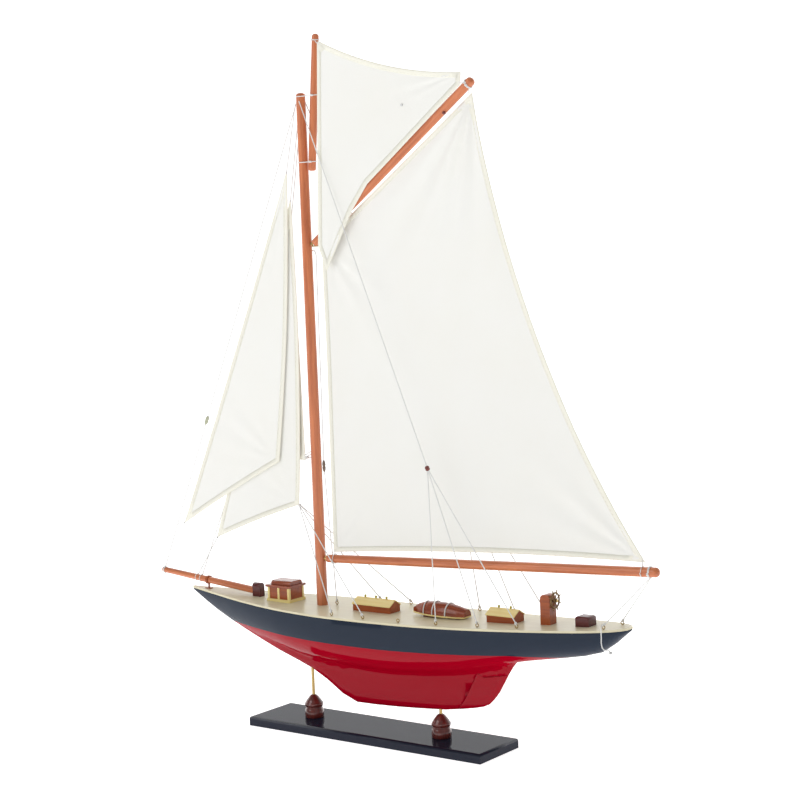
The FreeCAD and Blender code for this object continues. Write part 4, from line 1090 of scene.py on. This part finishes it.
def around_two(z, near, far, cord):
    """Closed path round the mast and the topmast at one height."""
    (xa, ra), (xb, rb) = near, far
    ra, rb = ra + cord * 0.9, rb + cord * 0.9
    lean = math.acos((ra - rb) / (xb - xa))
    steps = 24
    points = []
    for x, radius, first, sweep in ((xa, ra, lean, 2 * math.pi - 2 * lean),
                                    (xb, rb, -lean, 2 * lean)):
        for k in range(steps + 1):
            turn = first + sweep * k / steps
            points.append(Vector((x + radius * math.cos(turn), radius * math.sin(turn), z)))
    return points


class YACHT_OT_lashings(bpy.types.Operator):
    """Cord wound round the spars where they meet and where the sails are tied"""
    bl_idname = "yacht.lashings"
    bl_label = "Lashings"

    def execute(self, context):
        topmast_way = (TOPMAST_HEAD - TOPMAST_FOOT).normalized()
        form = Form()
        for z in MASTHEAD_JOINS:
            spar_x = (TOPMAST_FOOT + topmast_way * ((z - TOPMAST_FOOT.z) / topmast_way.z)).x
            ring = around_two(z, (MAST_HEAD.x, mast_radius(z)), (spar_x, TOPMAST_RADIUS), STOUT)
            count = len(ring)
            path = [point + UP * (k / count - 0.5) for k, point in enumerate(ring)]
            thread(form, path, STOUT, step=0.5)
            knot(form, Vector((spar_x + 1.2, -TOPMAST_RADIUS - 0.9, z)), 1.2)
        piece("masthead_lashings", form, material("cord"), "hull", ["mast_lashings"])
        form = Form()
        centre = TOPMAST_FOOT + topmast_way * TOPSAIL_HEAD_WRAP
        wound(form, centre, topmast_way, 3.55, 1, STOUT)
        thread(form, [centre + Vector((2.0, -3.6, -0.5)), Vector((TOP_HEAD[0] - 1.5, -5.0, 686)),
                      Vector((TOP_HEAD[0] + 2.5, -5.3, 683))], FINE)
        piece("topsail_head_lashing", form, material("cord"), "hull",
              ["topmast_head_lashing"])
        for end, start, tip, x, radius in (
                ("boom", BOOM_START, BOOM_END, BOOM_WRAP_X, BOOM_RADIUS),
                ("gaff", GAFF_START, GAFF_END, GAFF_WRAP_X, GAFF_RADIUS)):
            form = Form()
            wound(form, on_spar(start, tip, x), tip - start, radius, 2, STOUT)
            piece(end + "_end_lashing", form, material("cord"), "main_rig",
                  [end + "_lashing"])
        return {"FINISHED"}


class YACHT_OT_lines(bpy.types.Operator):
    """Stays, halyards, sheets and pendants with their knots and toggles"""
    bl_idname = "yacht.lines"
    bl_label = "Lines"

    def execute(self, context):
        cord = material("cord")
        sprit_way = SPRIT_TIP - SPRIT_HEEL
        form = Form()
        wound(form, on_spar(SPRIT_HEEL, SPRIT_TIP, SPRIT_END_WRAP_X), sprit_way, 2.95, 2, FINE)
        run(form, *FORESTAY, start_knot=1.1)
        piece("forestay_line", form, cord, "hull", ["forestay"])

        form = Form()
        for head, side, top in ((JIB_HEAD, JIB_SIDE, (-70, -3, 628)),
                                (STAY_HEAD, 0, (-70.2, 0, 611)),
                                (INNER_HEAD, INNER_SIDE, (-70, 2.6, 607))):
            run(form, (head[0] + 0.6, side, head[1] - 1.5), top, start_knot=0.9)
        stay_wrap, inner_wrap = SPRIT_WRAPS_X
        for tack, side, bottom in ((JIB_TACK, JIB_SIDE, (-262.6, 0, 197.5)),
                                   (STAY_TACK, 0, (stay_wrap, 0, 142.6)),
                                   (INNER_TACK, INNER_SIDE, (inner_wrap, 1.2, 143))):
            run(form, (tack[0] + 1, side, tack[1] + 0.6), bottom, start_knot=0.8)
        for x in SPRIT_WRAPS_X:
            wound(form, on_spar(SPRIT_HEEL, SPRIT_TIP, x), sprit_way, sprit_radius(x), 1, FINE)
        piece("headsail_halyard_lines", form, cord, "hull", ["headsail_halyards"])

        form = Form()
        for rise in (0, 4, 8):
            run(form, (INNER_CLEW[0] - 1.2, INNER_SIDE, INNER_CLEW[1] + rise / 2 + 0.6),
                (-66, 4.6, 279 + rise))
        knot(form, Vector((INNER_CLEW[0] + 2.2, 3.0, 276)), 2.0)
        knot(form, Vector((-70.5, 3.0, 283)), 1.3)
        piece("inner_jib_tie_lines", form, cord, "hull", ["inner_jib_tie"])

        form = Form()
        for side in (-1, 1):
            for name in ("sheet_fore", "sheet_aft"):
                x, y = EYES[name]
                eye = eye_at((x, side * y))
                start = Vector((STAY_CLEW[0] + 0.2, side * 0.5, STAY_CLEW[1] + 0.4))
                run(form, start, eye + UP * RING, start_knot=0.8, end_knot=1.0)
                hitched(form, eye, start)
        piece("headsail_sheet_lines", form, cord, "hull", ["headsail_sheets"])

        pendants, legs = Form(), Form()
        for side in (-1, 1):
            bead = Vector((PENDANT_BEAD[0], side * PENDANT_BEAD[1], PENDANT_BEAD[2]))
            run(pendants, (-63.5, side * 4.6, 631), bead)
            for name in ("leg_fore", "leg_mid", "leg_aft"):
                x, y = EYES[name]
                eye = eye_at((x, side * y))
                run(legs, bead, eye + UP * RING, end_knot=1.0)
                hitched(legs, eye, bead)
        piece("pendant_lines", pendants, cord, "hull", ["pendants"])
        piece("pendant_leg_lines", legs, cord, "hull", ["pendant_legs"])

        form = Form()
        run(form, *HALYARD)
        hitched(form, eye_at(MAST_EYE), HALYARD[0])
        thread(form, [Vector((-62.2, 4.4, 484)), Vector((-59.4, 4.9, 483.4)),
                      HALYARD[0] - UP * 0.8])
        piece("halyard_line", form, cord, "hull", ["halyard"])

        stay_way = FORESTAY[1] - FORESTAY[0]
        form = Form()
        barrel(form, FORESTAY[0] + stay_way * 0.337, stay_way, 9.5, 2.1)
        piece("forestay_toggle", form, material("olive_bead"), "hull")
        form = Form()
        barrel(form, HALYARD[1], HALYARD[2] - HALYARD[0], 11.5, 1.75)
        piece("halyard_toggle", form, material("grey_bead"), "hull")
        form = Form()
        for side in (-1, 1):
            barrel(form, Vector((PENDANT_BEAD[0], side * PENDANT_BEAD[1], PENDANT_BEAD[2])),
                   Vector((1, 0, -2.3)), 4.8, 2.4)
        piece("pendant_toggles", form, material("bead"), "hull", ["line_beads"])
        dress("gaff_bead", material("bead"))

        becket = on_spar(BOOM_START, BOOM_END, BOOM_WRAP_X)
        form = Form()
        for place in SHEET_EYES:
            side = -1 if place[1] < 0 else 1
            eye = eye_at(place)
            top = becket + Vector((0, side * 0.8, -BOOM_RADIUS - 0.9))
            run(form, eye + UP * RING, top, start_knot=1.0)
            hitched(form, eye, top)
        line = piece("mainsheet_lines", form, cord, None, ["mainsheet"])
        start = eye_at(SHEET_EYES[0])
        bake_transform(line)

        form = Form()
        for x in (MAIN_TACK[0] + 1.5, MAIN_CLEW[0] - 2.5):
            foot = on_spar(BOOM_START, BOOM_END, x)
            wound(form, foot, BOOM_END - BOOM_START, BOOM_RADIUS - 0.1, 1, FINE)
            corner = MAIN_TACK if x < 0 else MAIN_CLEW
            run(form, foot + UP * BOOM_RADIUS, (x, 0, corner[1] + 2))
        for x, reach in ((MAIN_THROAT[0] + 3, 9), (MAIN_PEAK[0] - 3, 9.5)):
            head = on_spar(GAFF_START, GAFF_END, x)
            run(form, head - UP * GAFF_RADIUS, head - UP * reach)
        wound(form, on_spar(GAFF_START, GAFF_END, MAIN_THROAT[0] + 3), GAFF_END - GAFF_START,
              GAFF_RADIUS - 0.1, 1, FINE)
        clew = on_spar(GAFF_START, GAFF_END, 135)
        run(form, clew + Vector((0, -4.2, 1.5)), (129.5, -5.3, TOP_CLEW_FOOT[1] + 2.5))
        run(form, on_spar(GAFF_START, GAFF_END, -36) + Vector((0, -3.9, 0)), (-36, -5.2, 505))
        piece("sail_tie_lines", form, cord, "main_rig", ["sail_ties"])
        return {"FINISHED"}


class YACHT_OT_tail(bpy.types.Operator):
    """Free end of the mainsheet: out of the port eye, over the deck edge, ending in a knot"""
    bl_idname = "yacht.tail"
    bl_label = "Sheet tail"

    def execute(self, context):
        route = [(271.4, -13.3, 140.7), (272.2, -16.4, 142.2), (273.0, -19.9, 140.6),
                 (273.4, -21.0, 135.8), (273.6, -21.2, 130.6), (273.4, -21.4, 125.2),
                 (275.0, -21.8, 121.0), (278.8, -22.2, 119.6), (281.6, -22.4, 121.4),
                 (283.4, -22.6, 118.6)]
        data = bpy.data.curves.new("tail_route", "CURVE")
        data.dimensions = "3D"
        data.resolution_u = 16
        spline = data.splines.new("NURBS")
        spline.points.add(len(route) - 1)
        for point, place in zip(spline.points, route):
            point.co = (*(Vector(place) * MM), 1)
        spline.order_u = 3
        spline.use_endpoint_u = True
        guide = bpy.data.objects.new("tail_route", data)
        context.scene.collection.objects.link(guide)
        context.view_layer.update()
        traced = bpy.data.meshes.new_from_object(guide)
        points = [vert.co / MM for vert in traced.vertices]
        bpy.data.objects.remove(guide)
        form = Form()
        thread(form, points, 0.55, step=0.4)
        tail = piece("mainsheet_tail", form, material("cord"), "hull", ["sheet_tail"])
        end = Form()
        knot(end, points[-1] + (points[-1] - points[-2]).normalized() * 0.4, 1.9, 0.55)
        stop = piece("tail_knot", end, material("cord"), "hull")
        return {"FINISHED"}


# ------------------------------------------------------------------ stage
def soft_light(name, place_at, aim, size, power):
    """White area light of that size in metres and power in watts, turned to the aim point."""
    light = bpy.data.lights.new(name, "AREA")
    light.shape = "RECTANGLE"
    light.size, light.size_y = size
    light.energy = power
    obj = bpy.data.objects.new(name, light)
    bpy.context.scene.collection.objects.link(obj)
    obj.location = place_at
    obj.rotation_mode = "QUATERNION"
    obj.rotation_quaternion = (aim - place_at).to_track_quat("-Z", "Y")


def backdrop_profile():
    """Floor and the curve that sweeps up behind it: (reach behind the yacht, height), metres."""
    bend_start, bend, steps = 3.0, 2.5, 12
    sweep = [(-14.0, 0.0), (-2.2, 0.0), (bend_start, 0.0)]
    for k in range(1, steps + 1):
        turn = math.pi / 2 * k / steps
        sweep.append((bend_start + bend * math.sin(turn), bend - bend * math.cos(turn)))
    return sweep + [(bend_start + bend, 9.0)]


class YACHT_OT_stage(bpy.types.Operator):
    """Pale floor that sweeps up behind, soft lights, and the camera"""
    bl_idname = "yacht.stage"
    bl_label = "Stage"

    def execute(self, context):
        scene = context.scene
        values = sizes()
        turn, rise, roll = values.camera_turn, values.camera_height, values.camera_roll
        ahead = Vector((-math.sin(turn), math.cos(turn), 0))
        right = Vector((math.cos(turn), math.sin(turn), 0))
        sweep = backdrop_profile()
        corners = [tuple(ahead * reach + right * across + UP * height)
                   for reach, height in sweep for across in (-16, 16)]
        strips = [(2 * k, 2 * k + 1, 2 * k + 3, 2 * k + 2) for k in range(len(sweep) - 1)]
        paper = blank_material("Backdrop paper", Roughness=0.9, Base_Color=(0.93, 0.93, 0.93, 1),
                               Emission_Color=(1, 1, 1, 1), Emission_Strength=0.78)[0]
        mesh = bpy.data.meshes.new("backdrop")
        mesh.from_pydata(corners, [], strips)
        mesh.materials.append(paper)
        mesh.polygons.foreach_set("use_smooth", [True] * len(mesh.polygons))
        backdrop = bpy.data.objects.new("backdrop", mesh)
        scene.collection.objects.link(backdrop)
        backdrop.location.z = -0.2 * MM         # just clear of the board's underside

        aim = Vector((0.0434, 0, 0.3368))
        back = Vector((math.sin(turn) * math.cos(rise), -math.cos(turn) * math.cos(rise),
                       math.sin(rise)))
        above = back.cross(right)
        rolled_right = right * math.cos(roll) + above * math.sin(roll)
        rolled_up = above * math.cos(roll) - right * math.sin(roll)
        camera = bpy.data.cameras.new("Camera")
        camera.lens = values.lens
        camera.sensor_width = 36
        view = bpy.data.objects.new("Camera", camera)
        scene.collection.objects.link(view)
        view.matrix_world = Matrix.Translation(aim + back * values.camera_distance) @ Matrix((
            (rolled_right.x, rolled_up.x, back.x, 0), (rolled_right.y, rolled_up.y, back.y, 0),
            (rolled_right.z, rolled_up.z, back.z, 0), (0, 0, 0, 1)))
        scene.camera = view

        world = bpy.data.worlds.new("Studio")
        world.use_nodes = True
        glow = world.node_tree.nodes["Background"]
        glow.inputs["Color"].default_value = (1, 1, 1, 1)
        glow.inputs["Strength"].default_value = 0.36
        scene.world = world
        scene.view_settings.view_transform = "Standard"
        soft_light("Key", aim + Vector((-0.9, -1.95, 1.1)), aim, (1.3, 1.5), 13.5)
        soft_light("Fill", aim + Vector((1.9, -1.1, 0.7)), aim, (1.6, 1.6), 0.6)
        soft_light("Top", aim + Vector((0.2, 0.2, 2.0)), aim, (2.0, 2.0), 4)
        return {"FINISHED"}


# ------------------------------------------------------------------ panel and registration
class YACHT_PT_panel(bpy.types.Panel):
    """Lists the steps that build the yacht"""
    bl_idname = "YACHT_PT_panel"
    bl_label = "Display yacht"
    bl_space_type = "VIEW_3D"
    bl_region_type = "UI"
    bl_category = "Yacht"

    def draw(self, context):
        for step in STEPS:
            self.layout.operator(step.bl_idname)


STEPS = (YACHT_OT_stage, YACHT_OT_stand, YACHT_OT_hull, YACHT_OT_fittings, YACHT_OT_wheel,
         YACHT_OT_spars, YACHT_OT_sails, YACHT_OT_lashings, YACHT_OT_lines, YACHT_OT_tail)
CLASSES = (YachtSizes, YachtColours, *STEPS, YACHT_PT_panel)


def register():
    for cls in CLASSES:
        bpy.utils.register_class(cls)
    bpy.types.Scene.yacht_sizes = bpy.props.PointerProperty(type=YachtSizes)
    bpy.types.Scene.yacht_colours = bpy.props.PointerProperty(type=YachtColours)


def unregister():
    del bpy.types.Scene.yacht_colours
    del bpy.types.Scene.yacht_sizes
    for cls in reversed(CLASSES):
        bpy.utils.unregister_class(cls)


def main():
    register()
    bpy.ops.yacht.stage()
    bpy.ops.yacht.tail()
    bpy.ops.yacht.stand()
    bpy.ops.yacht.hull()
    bpy.ops.yacht.fittings()
    bpy.ops.yacht.wheel()
    bpy.ops.yacht.spars()
    bpy.ops.yacht.sails()
    bpy.ops.yacht.lashings()
    bpy.ops.yacht.lines()
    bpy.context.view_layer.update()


if __name__ == "__main__":
    main()
